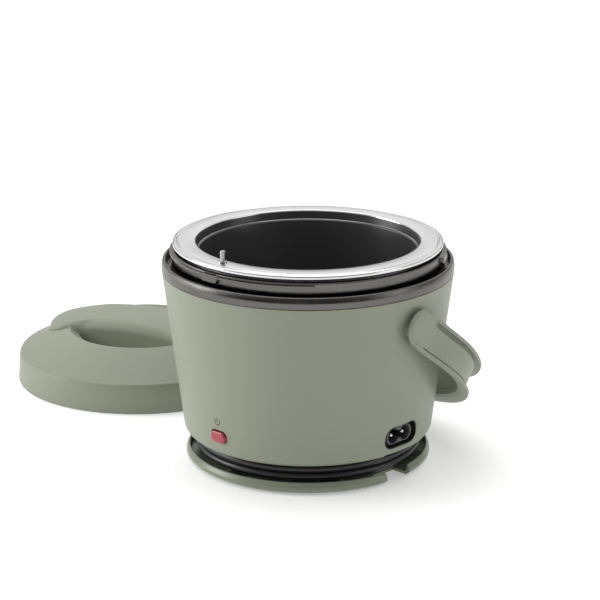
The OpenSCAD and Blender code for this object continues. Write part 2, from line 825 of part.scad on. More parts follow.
module food_container() {
    r = container_corner_r;
    t = container_t;
    lip_z = rim_top_z - rim_lip_h;
    color(polished) rotate_extrude() polygon(concat(
        [[0, container_floor_z - t]],
        arc(floor_r + t - r, container_floor_z - t + r, r, -90, 0, 6),
        [[container_r(rim_under_z) + t, rim_under_z], [rim_r - t, rim_under_z],
         [rim_r - t, lip_z], [rim_r, lip_z], [rim_r, rim_top_z - 0.7],
         [rim_r - 1.4, rim_top_z], [open_r + 0.6, rim_top_z], [open_r, rim_top_z - 0.6]],
        arc(floor_r - r + t, container_floor_z + r - t, r - t, 0, -90, 6),
        [[0, container_floor_z]]
    ));
}

module locating_pin() {
    r = locating_pin_d / 2;
    color(polished) translate([0, -(open_r + 4), rim_top_z + seat]) {
        cylinder(r = r, h = locating_pin_h - 2 * r, $fn = 48);
        translate([0, 0, locating_pin_h - 2 * r]) cylinder(r1 = r, r2 = 0.25, h = 2 * r, $fn = 48);
        cylinder(r = r + 0.8, h = 0.5, $fn = 48);
    }
}

// ---- Lid ----

module at_lid() {
    translate([lid_x, lid_y, 0]) rotate([0, 0, lid_turn]) children();
}

// Height of the dome over its own edge, at a share of its radius
function dome(s, inset) = [
    (lid_crease_r - lid_shoulder_r * 0.4 - inset) * s,
    lid_skirt_h + 3 - inset + (lid_dome_h - 3) * pow(max(0, 1 - s * s), 0.8)
];

module dome_solid(inset) {
    r = inset > 0 ? lid_in_r : lid_r;
    low = inset > 0 ? -1 : 0;
    rotate_extrude() polygon(concat(
        [[0, low], [r - (inset > 0 ? 0 : 0.6), low], [r, low + 0.6],
         [lid_crease_r - inset, lid_skirt_h - inset]],
        [for (s = [1:-0.1:-0.001]) dome(max(s, 0), inset)]
    ));
}

// The bar's crown is an arc of a large cylinder lying across the bar
module grip_bar(inset) {
    half = grip_l / 2 - inset;
    crown_r = (grip_l * grip_l / 4 + grip_sag * grip_sag) / (2 * grip_sag);
    w = grip_w - 2 * inset;
    intersection() {
        translate([0, 0, inset > 0 ? lid_skirt_h - 2 : lid_skirt_h]) linear_extrude(40)
            rounded(2 * half, w, w / 2 - 2);
        translate([0, 0, lid_top_z - inset - crown_r]) rotate([90, 0, 0])
            cylinder(r = crown_r, h = grip_w + 2, center = true, $fn = 180);
    }
}

// One finger scoop beside the bar: a half ellipse in plan, deepest at the bar
module scoop(side, grow) {
    bar_side = grip_w / 2 - 1.5;
    half = scoop_l / 2 + grow;
    deep = scoop_out - bar_side + grow;
    steps = 20;
    tilt = atan2(lid_crown_z - 4 - scoop_floor_z, scoop_out - bar_side);
    difference() {
        translate([0, 0, scoop_floor_z - grow - 1]) linear_extrude(grow > 0 ? 9 + 2 * grow : 30)
            polygon(concat(
                [[-half, side * (bar_side - grow)]],
                [for (i = [1:steps - 1]) let (a = 180 - 180 * i / steps)
                    [half * cos(a), side * (bar_side + deep * sin(a))]],
                [[half, side * (bar_side - grow)]]
            ));
        // The floor rises from the bar towards the rim
        translate([0, side * bar_side, scoop_floor_z - grow]) rotate([side * tilt * 0.45, 0, 0])
            translate([-100, -100, -40]) cube([200, 200, 40]);
    }
}

module lid_shell() {
    color(shell_green) at_lid() difference() {
        union() {
            dome_solid(0);
            grip_bar(0);
        }
        difference() {
            union() {
                dome_solid(lid_wall);
                grip_bar(lid_wall);
            }
            for (side = [-1, 1]) scoop(side, scoop_wall);
            lid_lugs();
        }
        for (side = [-1, 1]) scoop(side, 0);
    }
}

module lid_lugs() {
    in_r = collar_r + ridge_w - lug_w + 0.9;
    for (i = [0:lug_count - 1])
        ring_arc(lid_in_r + 0.5, in_r, 1.2, 2.2, i * 360 / lug_count + 60, i * 360 / lug_count + 82);
}

module lid_liner() {
    color([0.80, 0.80, 0.78]) at_lid() translate([0, 0, liner_z + seat]) {
        cylinder(r = liner_r, h = liner_t);
        ring(liner_r - 0.8, liner_r - 2.4, liner_t - 0.5, 2.5);
    }
}

module lid_seal() {
    color([0.85, 0.85, 0.83]) at_lid() ring(rim_r - 1.5, open_r + 0.5, seal_z, seal_t);
}

// ---- Cord, wound on the spool, and what is on its ends ----

module cord_coil() {
    color(dark) ring(coil_out_r, coil_in_r, coil_low_z, coil_h);
}

// Length of a tail that runs along +Y at distance x from the axis until the coil
function tail_end(x) = sqrt(pow(coil_in_r - 0.2, 2) - x * x);

module tail(x, from_y, z, r1, r2) {
    translate([x, from_y, z]) rotate([-90, 0, 0])
        cylinder(r1 = r1, r2 = r2, h = tail_end(abs(x) + r1) - from_y, $fn = 32);
}

module cord_connector() {
    x = -(spool_r + 1 + connector_w / 2);
    z = store_low_z + connector_h / 2;
    front_y = -connector_l / 2;
    color(dark) union() {
        translate([x, front_y, z]) rotate([-90, 0, 0]) linear_extrude(connector_l)
            rounded(connector_w, connector_h, connector_h / 2 - 0.5);
        tail(x, front_y + connector_l - 1, z, 3.4, cord_d / 2 + 0.5);
    }
}

module plug_place() {
    translate([spool_r + 1 + plug_w / 2, -2, store_low_z + plug_h / 2]) children();
}

module cord_plug() {
    x = spool_r + 1 + plug_w / 2;
    z = store_low_z + plug_h / 2;
    color(dark) union() {
        plug_place() rotate([-90, 0, 0]) linear_extrude(plug_l) rounded(plug_w, plug_h, 3.4);
        tail(x, plug_l - 3, z, 3.6, cord_d / 2 + 0.5);
    }
}

module plug_blade(s) {
    color(polished) plug_place()
        translate([s * blade_pitch / 2 - blade_t / 2, -blade_l, -blade_w / 2])
            cube([blade_t, blade_l - seat, blade_w]);
}

outer_shell();
trim_band();
threaded_collar();
heating_well();
well_gasket();
band_heater();
heater_strap();
insulation_sleeve();
heater_plate();
thermostat();
thermal_fuse();
standoff(0);  // standoff_1
standoff(1);  // standoff_2
standoff(2);  // standoff_3
bottom_cover();
cover_screw(0);  // cover_screw_1
cover_screw(1);  // cover_screw_2
cover_screw(2);  // cover_screw_3
inlet_housing();
inlet_pin(-1);  // inlet_pin_1
inlet_pin(1);  // inlet_pin_2
inlet_leads();
power_lens();
pilot_lamp();
lamp_holder();
pivot_pin(1);  // pivot_pin_right
pivot_pin(-1);  // pivot_pin_left
pivot_washer(1);  // pivot_washer_right
pivot_washer(-1);  // pivot_washer_left
cord_spool();
base_plate();
base_screw(0);  // base_screw_1
base_screw(1);  // base_screw_2
base_screw(2);  // base_screw_3
foot(0, 0);  // foot_centre
foot(foot_ring_r, 45);  // foot_1
foot(foot_ring_r, 135);  // foot_2
foot(foot_ring_r, 225);  // foot_3
foot(foot_ring_r, 315);  // foot_4
handle();
grip_insert();
ear_cap(1);  // ear_cap_right
ear_cap(-1);  // ear_cap_left
food_container();
locating_pin();
lid_shell();
lid_liner();
lid_seal();
cord_coil();
cord_connector();
cord_plug();
plug_blade(-1);  // plug_blade_1
plug_blade(1);  // plug_blade_2
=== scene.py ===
import bmesh
import bpy
import numpy as np
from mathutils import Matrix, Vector


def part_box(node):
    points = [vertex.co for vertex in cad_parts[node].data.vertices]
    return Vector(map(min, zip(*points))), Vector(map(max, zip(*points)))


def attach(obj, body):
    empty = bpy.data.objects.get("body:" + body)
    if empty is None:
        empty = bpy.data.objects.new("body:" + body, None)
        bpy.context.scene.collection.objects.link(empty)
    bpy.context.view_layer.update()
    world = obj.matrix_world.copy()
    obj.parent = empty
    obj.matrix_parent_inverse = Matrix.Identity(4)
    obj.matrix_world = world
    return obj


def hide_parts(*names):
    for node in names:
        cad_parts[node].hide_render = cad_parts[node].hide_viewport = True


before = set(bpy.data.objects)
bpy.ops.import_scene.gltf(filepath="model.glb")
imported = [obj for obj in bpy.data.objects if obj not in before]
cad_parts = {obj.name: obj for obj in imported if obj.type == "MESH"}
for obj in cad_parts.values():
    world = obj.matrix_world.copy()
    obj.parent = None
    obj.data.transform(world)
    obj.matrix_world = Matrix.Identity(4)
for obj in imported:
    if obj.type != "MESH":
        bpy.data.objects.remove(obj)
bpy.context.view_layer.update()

# ---- Camera ----
# A long lens at the object's front right, a little above the rim, so that the lamp,
# the inlet and the near ear of the handle all face it.
camera = bpy.data.objects.new("camera", bpy.data.cameras.new("camera"))
bpy.context.scene.collection.objects.link(camera)
bpy.context.scene.camera = camera
camera.data.lens, camera.data.sensor_width = 136.15, 36
camera.data.shift_x, camera.data.shift_y = -0.01333, 0.075
aim, away = Vector((0, 0, 0.060)), 1.2
turn, rise = np.radians([43.2, 18.05])
back = Vector((np.sin(turn) * np.cos(rise), -np.cos(turn) * np.cos(rise), np.sin(rise)))
camera.location = aim + away * back
camera.rotation_euler = (-back).to_track_quat("-Z", "Y").to_euler()
camera.data.clip_start, camera.data.clip_end = 0.05, 20

# ---- Cord ----
# The mains lead, round black PVC, wound under the body on ribs: one turn inside and
# two outside. It starts in the appliance connector and ends in the two-blade plug.
# Lengths of pieces are in millimetres until joined() puts them into a mesh.
mm = 0.001
cord_d = 4.0
cord_low, cord_high = 8.1, 12.15         # centre heights of the lower and upper turn
ring_start, ring_in, ring_out = 48.6, 53.6, 57.7   # centre radii: the first arc's, and the turns'
step_out, step_up = (-285, 30), (-632, 26)   # where it moves out and up: from, and over, degrees
connector_end = np.array([-30.5, 15.0, 10.35])
plug_end = np.array([34.5, 16.0, 10.45])


def circle(count):
    """Count equal steps round a circle, in radians."""
    return np.linspace(0, 2 * np.pi, count, endpoint=False)


def ease(t):
    """Smooth step: 3t^2 - 2t^3, held at 0 and 1 outside 0..1."""
    t = np.clip(t, 0, 1)
    return t * t * (3 - 2 * t)


def quarter_in(x, y, ring):
    """An arc that leaves (x, y) along +Y and meets the circle r = ring from inside.
    Its radius R and centre (x +- R, y) satisfy |centre| = ring - R."""
    side = -np.sign(x)
    radius = (ring ** 2 - x ** 2 - y ** 2) / (2 * (ring + side * x))
    return np.array([x + side * radius, y]), radius


def arc(centre, radius, degrees, z_from, z_to, share):
    """Points at these degrees round a centre, the height easing from one z to another."""
    a = np.radians(degrees)
    return np.c_[centre + radius * np.c_[np.cos(a), np.sin(a)],
                 z_from + (z_to - z_from) * ease(share)]


def cord_route():
    """Arc from the connector, then circles whose radius and height ease between turns,
    then an arc to the plug. Angles run clockwise, in degrees, from +X."""
    begin, begin_r = quarter_in(*connector_end[:2], ring_start)
    end, end_r = quarter_in(*plug_end[:2], ring_out)
    meet, leave = np.degrees(np.arctan2([begin[1], end[1]], [begin[0], end[0]]))
    a, b = np.linspace(180, meet, 26), np.linspace(leave, 0, 34)
    turn = np.arange(meet - 4, leave - 1080, -4.0)
    ring = ring_start + (ring_in - ring_start) * ease((meet - turn) / (meet - 30))
    ring = ring + (ring_out - ring_in) * ease((step_out[0] - turn) / step_out[1])
    return np.vstack([
        arc(begin, begin_r, a, connector_end[2], cord_low, (180 - a) / 60),
        arc(0, ring[:, None], turn, cord_low, cord_high, (step_up[0] - turn) / step_up[1]),
        arc(end, end_r, b, cord_high, plug_end[2], (36 - b) / 36)])


def quads(rows, columns, along=False):
    """Faces of a grid of points, as [row, column, corner]. The last column joins the
    first, and along joins the last row to the first."""
    i, j = np.meshgrid(np.arange(rows if along else rows - 1), np.arange(columns), indexing="ij")
    i2, j2 = (i + 1) % rows, (j + 1) % columns
    return np.stack([i * columns + j, i * columns + j2, i2 * columns + j2, i2 * columns + j], -1)


def skin(name, grid, along=False, ends=True, sharp=32):
    """A mesh through a grid of points [row, column], in mm, closed round its columns.
    along joins its last row to its first, and without it ends closes the first and
    last row about their middle."""
    rows, columns = grid.shape[:2]
    points, faces = grid.reshape(-1, 3), quads(rows, columns, along).reshape(-1, 4).tolist()
    if ends and not along:
        points = np.vstack([points, grid[0].mean(0), grid[-1].mean(0)])
        k, top = np.arange(columns), (rows - 1) * columns
        k2, pole = (k + 1) % columns, 0 * k + rows * columns
        faces += np.c_[k2, k, pole].tolist() + np.c_[top + k, top + k2, pole + 1].tolist()
    return joined(name, points, faces, sharp)


def joined(name, points, faces, sharp=32):
    """A mesh from points in mm and faces: doubles merged, faces turned outwards by
    the sign of the volume that they enclose, smooth except at edges sharper than sharp."""
    mesh = bpy.data.meshes.new(name)
    mesh.from_pydata((np.asarray(points) * mm).tolist(), [], faces)
    work = bmesh.new()
    work.from_mesh(mesh)
    bmesh.ops.remove_doubles(work, verts=work.verts, dist=2e-7)
    bmesh.ops.dissolve_degenerate(work, dist=1e-7, edges=work.edges)
    bmesh.ops.recalc_face_normals(work, faces=work.faces)
    if work.calc_volume(signed=True) < 0:
        bmesh.ops.reverse_faces(work, faces=work.faces)
    work.to_mesh(mesh)
    work.free()
    mesh.shade_smooth()
    mesh.set_sharp_from_angle(angle=np.radians(sharp))
    piece = bpy.data.objects.new(name, mesh)
    bpy.context.scene.collection.objects.link(piece)
    return piece


def tube(name, line, radii, sides=28):
    """A circle of the given radius at each point of a line: the normal is level, across
    the line's own direction, and the binormal is square to both."""
    ahead = np.gradient(line, axis=0)
    ahead /= np.linalg.norm(ahead, axis=1, keepdims=True)
    level = np.cross(ahead, [0, 0, 1.0])
    level /= np.linalg.norm(level, axis=1, keepdims=True)
    up = np.cross(level, ahead)
    a = circle(sides)[:, None]
    around = np.cos(a) * level[:, None] + np.sin(a) * up[:, None]
    return skin(name, line[:, None] + np.asarray(radii)[:, None, None] * around)


def moulded_body(name, end, w, h, y_front, y_back):
    """Rings |x/w|^4 + |z/h|^4 = 1 of half sizes w and h from front to back about the
    cord's end, drawn in over the last 2 mm at each end."""
    length = y_back - y_front
    y = y_front + np.array([0, .15, .6, 2.0, .5 * length, length - 4, length - 1.2,
                            length - .2, length])[:, None]
    size = np.array([.86, .93, .98, 1, 1, 1, .9, .74, .6])[:, None]
    c, s = np.cos(circle(48)), np.sin(circle(48))
    size = size * (c ** 4 + s ** 4) ** (-1 / 4)
    return skin(name, np.stack(np.broadcast_arrays(end[0] + w * size * c, y,
                                                   end[2] + h * size * s), -1))


def strain_relief(name, line, thick, thin):
    """A tapering sleeve along the cord, its radius stepped by seven rings cut into it."""
    t = np.linspace(0, 1, len(line))
    cut = (np.sin(t * 7 * 2 * np.pi) > .3) & (t > .12) & (t < .93)
    return tube(name, line, thick + (thin - thick) * t - .3 * cut)


def fine_line(points, step=0.35):
    """The same polyline with points every step mm of its length."""
    length = np.r_[0, np.cumsum(np.linalg.norm(np.diff(points, axis=0), axis=1))]
    at = np.arange(0, length[-1], step)
    return np.stack([np.interp(at, length, points[:, k]) for k in range(3)], 1)


route = cord_route()
mains_cord = tube("mains_cord", route, np.full(len(route), cord_d / 2), 24)
fine = fine_line(route)
connector = moulded_body("connector_body", connector_end, 7.5, 4.3, -15, 15)
connector_sleeve = strain_relief("connector_sleeve", fine[:70], 3.4, 2.4)
plug = moulded_body("plug_body", plug_end, 11.5, 4.4, -2, 18)
plug_sleeve = strain_relief("plug_sleeve", fine[::-1][:70], 3.6, 2.4)
for piece in (mains_cord, connector, connector_sleeve, plug, plug_sleeve):
    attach(piece, "body")
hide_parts("cord_coil")
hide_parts("cord_connector")
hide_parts("cord_plug")


def node(tree, kind, inputs=None, **settings):
    """A shader node with its settings; each input takes a value or another's socket."""
    made = tree.nodes.new("ShaderNode" + kind)
    for key, value in settings.items():
        setattr(made, key, value)
    for key, value in (inputs or {}).items():
        if isinstance(value, bpy.types.NodeSocket):
            tree.links.new(value, made.inputs[key])
        else:
            made.inputs[key].default_value = value
    return made


def maths(tree, operation, *values):
    """The result of a Math node on sockets or numbers."""
    return node(tree, "Math", dict(enumerate(values)), operation=operation).outputs[0]


def noise(tree, at, scale, detail, **more):
    """The result of a noise read at a place."""
    return node(tree, "TexNoise",
                {"Vector": at, "Scale": scale, "Detail": detail, **more}).outputs["Fac"]


def scaled(tree, colour, by):
    """A colour times a number."""
    return node(tree, "VectorMath", {0: colour, "Scale": by}, operation="SCALE").outputs[0]


def bumped(tree, height, strength, size):
    """The normal of a surface that stands out by height times size."""
    return node(tree, "Bump", {"Height": height, "Strength": strength,
                               "Distance": size}).outputs[0]


def surface_group(name, pattern):
    """A node group that varies a finish over its surface. pattern() gives a tone, dull
    spots, how far they spread, and a height with its size. The colour is Color times
    1 + Variation (tone - .5), the roughness is Rough + spots times spread, and the
    normal is bumped by the height times Depth."""
    tree = bpy.data.node_groups.new(name, "ShaderNodeTree")
    for side, key, kind in (("INPUT", "Color", "Color"), ("INPUT", "Variation", "Float"),
                            ("INPUT", "Fineness", "Float"), ("INPUT", "Rough", "Float"),
                            ("INPUT", "Depth", "Float"), ("OUTPUT", "Color", "Color"),
                            ("OUTPUT", "Roughness", "Float"), ("OUTPUT", "Normal", "Vector")):
        tree.interface.new_socket(key, in_out=side, socket_type="NodeSocket" + kind)
    given, out = tree.nodes.new("NodeGroupInput").outputs, tree.nodes.new("NodeGroupOutput").inputs
    at = node(tree, "TexCoord").outputs["Object"]
    tone, spots, spread, height, size = pattern(tree, at, given["Fineness"])
    shade = maths(tree, "MULTIPLY_ADD", maths(tree, "ADD", tone, -.5), given["Variation"], 1.0)
    tree.links.new(scaled(tree, given["Color"], shade), out["Color"])
    tree.links.new(maths(tree, "MULTIPLY_ADD", spots, spread, given["Rough"]), out["Roughness"])
    tree.links.new(bumped(tree, height, given["Depth"], size), out["Normal"])
    return tree


def moulded_grain(tree, at, pebble):
    """Soft blotches in the tone, dull spots, and a fine pebble as the height."""
    blotches, dull = noise(tree, at, 16.0, 2.0), noise(tree, at, 90.0, 4.0)
    return blotches, maths(tree, "ADD", dull, -.5), .16, noise(tree, at, pebble, 1.0), .0002


grain = surface_group("moulded_grain", moulded_grain)


def principled(name, constants):
    """A material, its tree and its Principled shader's sockets, with these constants
    set on the shader's own sockets."""
    material = bpy.data.materials.new(name)
    material.use_nodes = True
    sockets = material.node_tree.nodes["Principled BSDF"].inputs
    for key, value in constants.items():
        sockets[key.replace("_", " ")].default_value = value
    return material, material.node_tree, sockets


def finish(name, group, colour, values, constants):
    """A material whose colour, roughness and normal come from a surface group."""
    material, tree, sockets = principled(name, constants)
    given = dict(zip(("Variation", "Fineness", "Depth", "Rough"), values))
    made = node(tree, "Group", {"Color": (*colour, 1), **given}, node_tree=group)
    for key, socket in (("Color", "Base Color"), ("Roughness", "Roughness"), ("Normal", "Normal")):
        tree.links.new(made.outputs[key], sockets[socket])
    return material


def moulded(name, colour, rough, blotch=.06, pebble=2200.0, depth=.1, **constants):
    """A moulded or painted finish."""
    return finish(name, grain, colour, (blotch, pebble, depth, rough), constants)


def dress(material, *pieces):
    """Puts one material on pieces or CAD nodes, in place of what they had."""
    for piece in pieces:
        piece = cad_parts[piece] if isinstance(piece, str) else piece
        piece.data.materials.clear()
        piece.data.materials.append(material)


cord_pvc = moulded("cord_pvc", (.011, .011, .012), .40, pebble=1500.0, depth=.05, Coat_Weight=.12,
                   Coat_Roughness=.2)
dress(cord_pvc, mains_cord, connector, connector_sleeve, plug, plug_sleeve)

# ---- Body shell ----
# Deep-drawn steel with a satin sage coat: a cone with a rounded lower corner. The
# inlet's tray and the lamp's hole are pressed into it, and a slot under the inlet lets
# the cord out. Its upper edge is turned over under the trim band.
low_r, top_r, low_z, top_z, corner, wall = 66.0, 76.4, 15.2, 102.6, 5.0, 2.4
slot_top, slot_half = 17.0, 9.2          # the cord's slot: its height, and degrees to each side
inlet_z, lamp_z, pivot_z = 26.2, 26.6, 86.0
tray_box, lamp_box, sleeve_box = (12, 6.0, 5.2), (5.4, 3.4, 3.0), (9.9, 4.7, 4.69)
tray_floor, tray_plate = 60.8, 1.8
place_rows = 31                          # rows of the grid that cross the pressed places
tray_span, lamp_span = 14, 8             # degrees to each side that the places take


def cone_r(z, inset=0.0):
    """Radius of the shell at a height: a circle of radius corner - inset about the lower
    corner's centre, then the straight cone."""
    r = corner - inset
    below = np.clip(low_z + corner - z, 0, r)
    arc = low_r - corner + np.sqrt(r * r - below * below)
    line = low_r - inset + (top_r - low_r) * (z - low_z - corner) / (top_z - low_z - corner)
    return np.where(z < low_z + corner, arc, line)


def box_distance(y, z, a, b, c):
    """Signed distance to a rectangle 2a by 2b with corner radius c."""
    qy, qz = np.abs(y) - a + c, np.abs(z) - b + c
    return np.hypot(np.maximum(qy, 0), np.maximum(qz, 0)) + np.minimum(np.maximum(qy, qz), 0) - c


def outline(angles, a, b, c, grow=0.0):
    """Points where rays at these angles leave the rounded rectangle grown by grow,
    found by halving, as [y, z]."""
    near, far = np.zeros_like(angles), np.full_like(angles, 60.0)
    for _ in range(40):
        mid = (near + far) / 2
        inside = box_distance(mid * np.cos(angles), mid * np.sin(angles), a, b, c) < grow
        near, far = np.where(inside, mid, near), np.where(inside, far, mid)
    return np.c_[near * np.cos(angles), near * np.sin(angles)]


def shell_columns():
    """Angles round the shell: 2 degrees apart, 0.7 in the two pressed places, with a
    close pair at each side of the cord's slot."""
    coarse = np.arange(-180, 180, 2.0)
    coarse = coarse[(np.abs(coarse) > tray_span + .5) & (np.abs(coarse + 90) > lamp_span + .5)]
    slot = slot_half + np.array([-.05, .1])
    return np.sort(np.r_[coarse, np.linspace(-tray_span, tray_span, 41),
                         np.linspace(-90 - lamp_span, -90 + lamp_span, 25), -slot, slot])


def shell_profile():
    """Radius and height along the section: down the outside, across the bottom, up the
    inside, with the pressed places' rows 0.6 mm apart. Then the first of those rows
    outside and inside."""
    high, low = np.linspace(101.9, 36.5, 34), 17.3
    turned_in = np.linspace(np.arccos(1 - (low - low_z) / corner), 0, 9)[1:]
    outside_z = np.r_[high, np.linspace(35.6, low, place_rows),
                      low_z + corner * (1 - np.cos(turned_in))]
    inner_z = np.r_[17.6, np.linspace(17.85, 35.8, place_rows), np.linspace(36.7, 101.9, 20)]
    inside = np.c_[cone_r(inner_z, wall), inner_z]
    inside[0, 0] = 60.6
    rim = [[top_r - .55, top_z - .02], [top_r - .16, top_z - .2], [top_r - .06, 102.3]]
    bottom = [[60.3, low_z], [60.1, low_z + .2], [60.1, low]]
    top_in = [[top_r - wall + .3, top_z - .02]]
    first = len(rim) + len(high)
    return (np.vstack([rim, np.c_[cone_r(outside_z), outside_z], bottom, inside, top_in]),
            first, len(rim) + len(outside_z) + len(bottom) + 1)


columns = np.radians(shell_columns())
profile, row_out, row_in = shell_profile()
shell = np.stack([profile[:, 0, None] * np.cos(columns), profile[:, 0, None] * np.sin(columns),
                  np.repeat(profile[:, 1, None], len(columns), 1)], -1)
in_slot = (np.abs(np.degrees(columns)) < slot_half) & (
    (profile[:, 1] < slot_top) & (profile[:, 0] > 60.2))[:, None]
shell[..., 2] = np.where(in_slot, slot_top, shell[..., 2])


def loop_of(rows, cols, width):
    """Indices round a rectangle of the grid, as one closed loop that starts at its
    first row, whichever way the rows are numbered."""
    step = int(np.sign(rows[1] - rows[0]))
    top = [(rows[0], c) for c in range(cols[0], cols[1])]
    right = [(r, cols[1]) for r in range(rows[0], rows[1], step)]
    bottom = [(rows[1], c) for c in range(cols[1], cols[0], -1)]
    left = [(r, cols[0]) for r in range(rows[1], rows[0], -step)]
    return np.array([r * width + c for r, c in top + right + bottom + left])


def pressed_place(box, soft, heading, centre_z, rows_out, rows_in, cols):
    """Rings that lead from a rectangle of the outside to one of the inside: the
    outline's fillet, its wall, what lies in it, and back to the inner skin."""
    flat, width = shell.reshape(-1, 3), shell.shape[1]
    outer, inner = flat[loop_of(rows_out, cols, width)], flat[loop_of(rows_in, cols, width)]
    across = np.array([-np.sin(heading), np.cos(heading), 0])
    out = np.array([np.cos(heading), np.sin(heading), 0])
    angles = np.arctan2(outer[:, 2] - centre_z, outer @ across)

    def surface(yz, inset=0.0):
        """How far out the skin lies: sqrt(cone radius^2 - across^2)."""
        r = cone_r(yz[:, 1] + centre_z, inset)
        return np.sqrt(np.maximum(r ** 2 - yz[:, 0] ** 2, 1))

    def ring(yz, depth):
        """Points that lie across, up and out from the shell's axis."""
        return (yz[:, :1] * across + (yz[:, 1:] + centre_z) * [0, 0, 1]
                + np.reshape(depth, (-1, 1)) * out)

    rings, quarter = [outer], np.radians([0, 22, 45, 67, 90])
    edge = np.c_[outer @ across, outer[:, 2] - centre_z]
    lip = outline(angles, *box, soft)
    for t in (.35, .7):
        yz = edge + (lip - edge) * t
        rings.append(ring(yz, surface(yz)))
    for q in quarter:
        yz = outline(angles, *box, soft * (1 - np.sin(q)))
        rings.append(ring(yz, surface(yz) - soft * (1 - np.cos(q))))
    yz = outline(angles, *box)
    if box is tray_box:
        rings.append(ring(yz, tray_floor + .5))
        for q in quarter[1:]:
            yz = outline(angles, *box, -.5 * (1 - np.cos(q)))
            rings.append(ring(yz, tray_floor + .5 * (1 - np.sin(q))))
        for depth in (tray_floor, tray_floor - tray_plate):
            rings.append(ring(outline(angles, *sleeve_box, .2), depth))
        yz = outline(angles, *box, .8)
        yz[:, 1] = np.maximum(yz[:, 1], slot_top + .95 - centre_z)
        rings.append(ring(yz, tray_floor - tray_plate))
    rings.append(ring(yz, surface(yz, wall)))
    middle = (yz + np.c_[inner @ across, inner[:, 2] - centre_z]) / 2
    return np.stack(rings + [ring(middle, surface(middle, wall)), inner])


def build_shell():
    """The turned grid with two rectangles of its outside and inside left out, where the
    tray's and the lamp hole's rings take their place."""
    degrees, places = np.degrees(columns), []
    keep = np.ones(shell.shape[:2], bool)
    for box, soft, heading, centre_z, half, first, last in (
            (tray_box, .6, 0.0, inlet_z, tray_span, 0, place_rows - 1),
            (lamp_box, .3, -90.0, lamp_z, lamp_span, 4, 24)):
        cols = [int(np.argmin(np.abs(degrees - heading + h))) for h in (half, -half)]
        rows_out = [row_out + first, row_out + last]
        rows_in = [row_in + place_rows - 1 - first, row_in + place_rows - 1 - last]
        for rows in (rows_out, rows_in):
            keep[min(rows):max(rows), cols[0]:cols[1]] = False
        places.append(pressed_place(box, soft, np.radians(heading), centre_z,
                                    rows_out, rows_in, cols))
    points, faces = shell.reshape(-1, 3), quads(*shell.shape[:2], along=True)[keep].tolist()
    for rings in places:
        faces += (quads(*rings.shape[:2]).reshape(-1, 4) + len(points)).tolist()
        points = np.vstack([points, rings.reshape(-1, 3)])
    return joined("shell_wall", points, faces, 40)


shell_wall = build_shell()
sage_colour = (.267, .292, .223)
sage_coat = moulded("sage_coat", sage_colour, .46, blotch=.05, pebble=1700.0, depth=.07)
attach(shell_wall, "body")
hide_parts("outer_shell")
dress(sage_coat, shell_wall)


def filleted(corners, steps=5):
    """A closed outline of corners (r, z, fillet), each corner replaced by an arc that
    touches both its sides."""
    out = []
    for k, (r, z, soft) in enumerate(corners):
        here = np.array([r, z], float)
        sides = [np.array(corners[i % len(corners)][:2], float) - here for i in (k - 1, k + 1)]
        lengths = [np.linalg.norm(s) for s in sides]
        before, after = (s / n for s, n in zip(sides, lengths))
        half = np.arccos(np.clip(before @ after, -1, 1)) / 2
        if soft == 0 or half > 1.56:
            out.append(here[None])
            continue
        cut = min(soft / np.tan(half), .49 * min(lengths))
        radius = cut * np.tan(half)
        middle = (before + after) / np.linalg.norm(before + after)
        centre = here + middle * radius / np.sin(half)
        a, b = (np.arctan2(*(p - centre)[::-1]) for p in (here + before * cut, here + after * cut))
        sweep = (b - a + np.pi) % (2 * np.pi) - np.pi
        angles = a + sweep * np.linspace(0, 1, steps)
        out.append(centre + radius * np.c_[np.cos(angles), np.sin(angles)])
    return np.vstack(out)


def turned(name, corners, sides=192, at=None):
    """A lathe body: the filleted outline turned about Z, then put in place by at()."""
    outline_rz, a = filleted(corners), circle(sides)
    r, z = np.maximum(outline_rz[:, :1], 0), np.repeat(outline_rz[:, 1:], sides, 1)
    grid = np.stack([r * np.cos(a), r * np.sin(a), z], -1)
    return skin(name, grid if at is None else at(grid), along=True)


def sideways(side, z):
    """Turns a lathe's axis to the X axis on one side, at height z."""
    return lambda g: np.stack([side * g[..., 2], g[..., 0], z + g[..., 1]], -1)


# The two pivot bosses, pressed out of the shell's wall, each a collar with a soft root.
boss_corners = [(0, 72.4, 0), (6.6, 72.4, 0), (6.6, 74.2, .2), (5.6, 74.9, .5), (5.6, 76.2, .3),
                (0, 76.2, 0)]
for side, word in ((1, "right"), (-1, "left")):
    boss = turned("pivot_boss_" + word, boss_corners, 64, sideways(side, pivot_z))
    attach(boss, "body")
    dress(sage_coat, boss)

# ---- Inlet sleeve and pins ----
# A black polyamide sleeve with a figure-eight bore and a flange clamped behind the
# tray. Its two pins are turned brass, nickel plated, with domed ends.


def figure_eight(angles, grow):
    """Rays from the middle of two circles of radius 3.8 at y = +-4.3, each ray to the
    circle's far side, or to the waist's own rectangle where that is further out."""
    c, s = np.abs(np.cos(angles)), np.abs(np.sin(angles))
    waist = np.minimum(2.4 / np.maximum(c, 1e-9), 1.9 / np.maximum(s, 1e-9))
    across = 3.8 ** 2 - (4.3 * s) ** 2
    far = np.where(across > 0, 4.3 * c + np.sqrt(np.maximum(across, 0)), 0)
    r = np.maximum(far, waist) + grow
    return np.c_[r * np.cos(angles), r * np.sin(angles)]


def at_x(x, yz):
    """A ring in the plane x, about the inlet's height."""
    return np.c_[np.full(len(yz), x), yz[:, 0], inlet_z + yz[:, 1]]


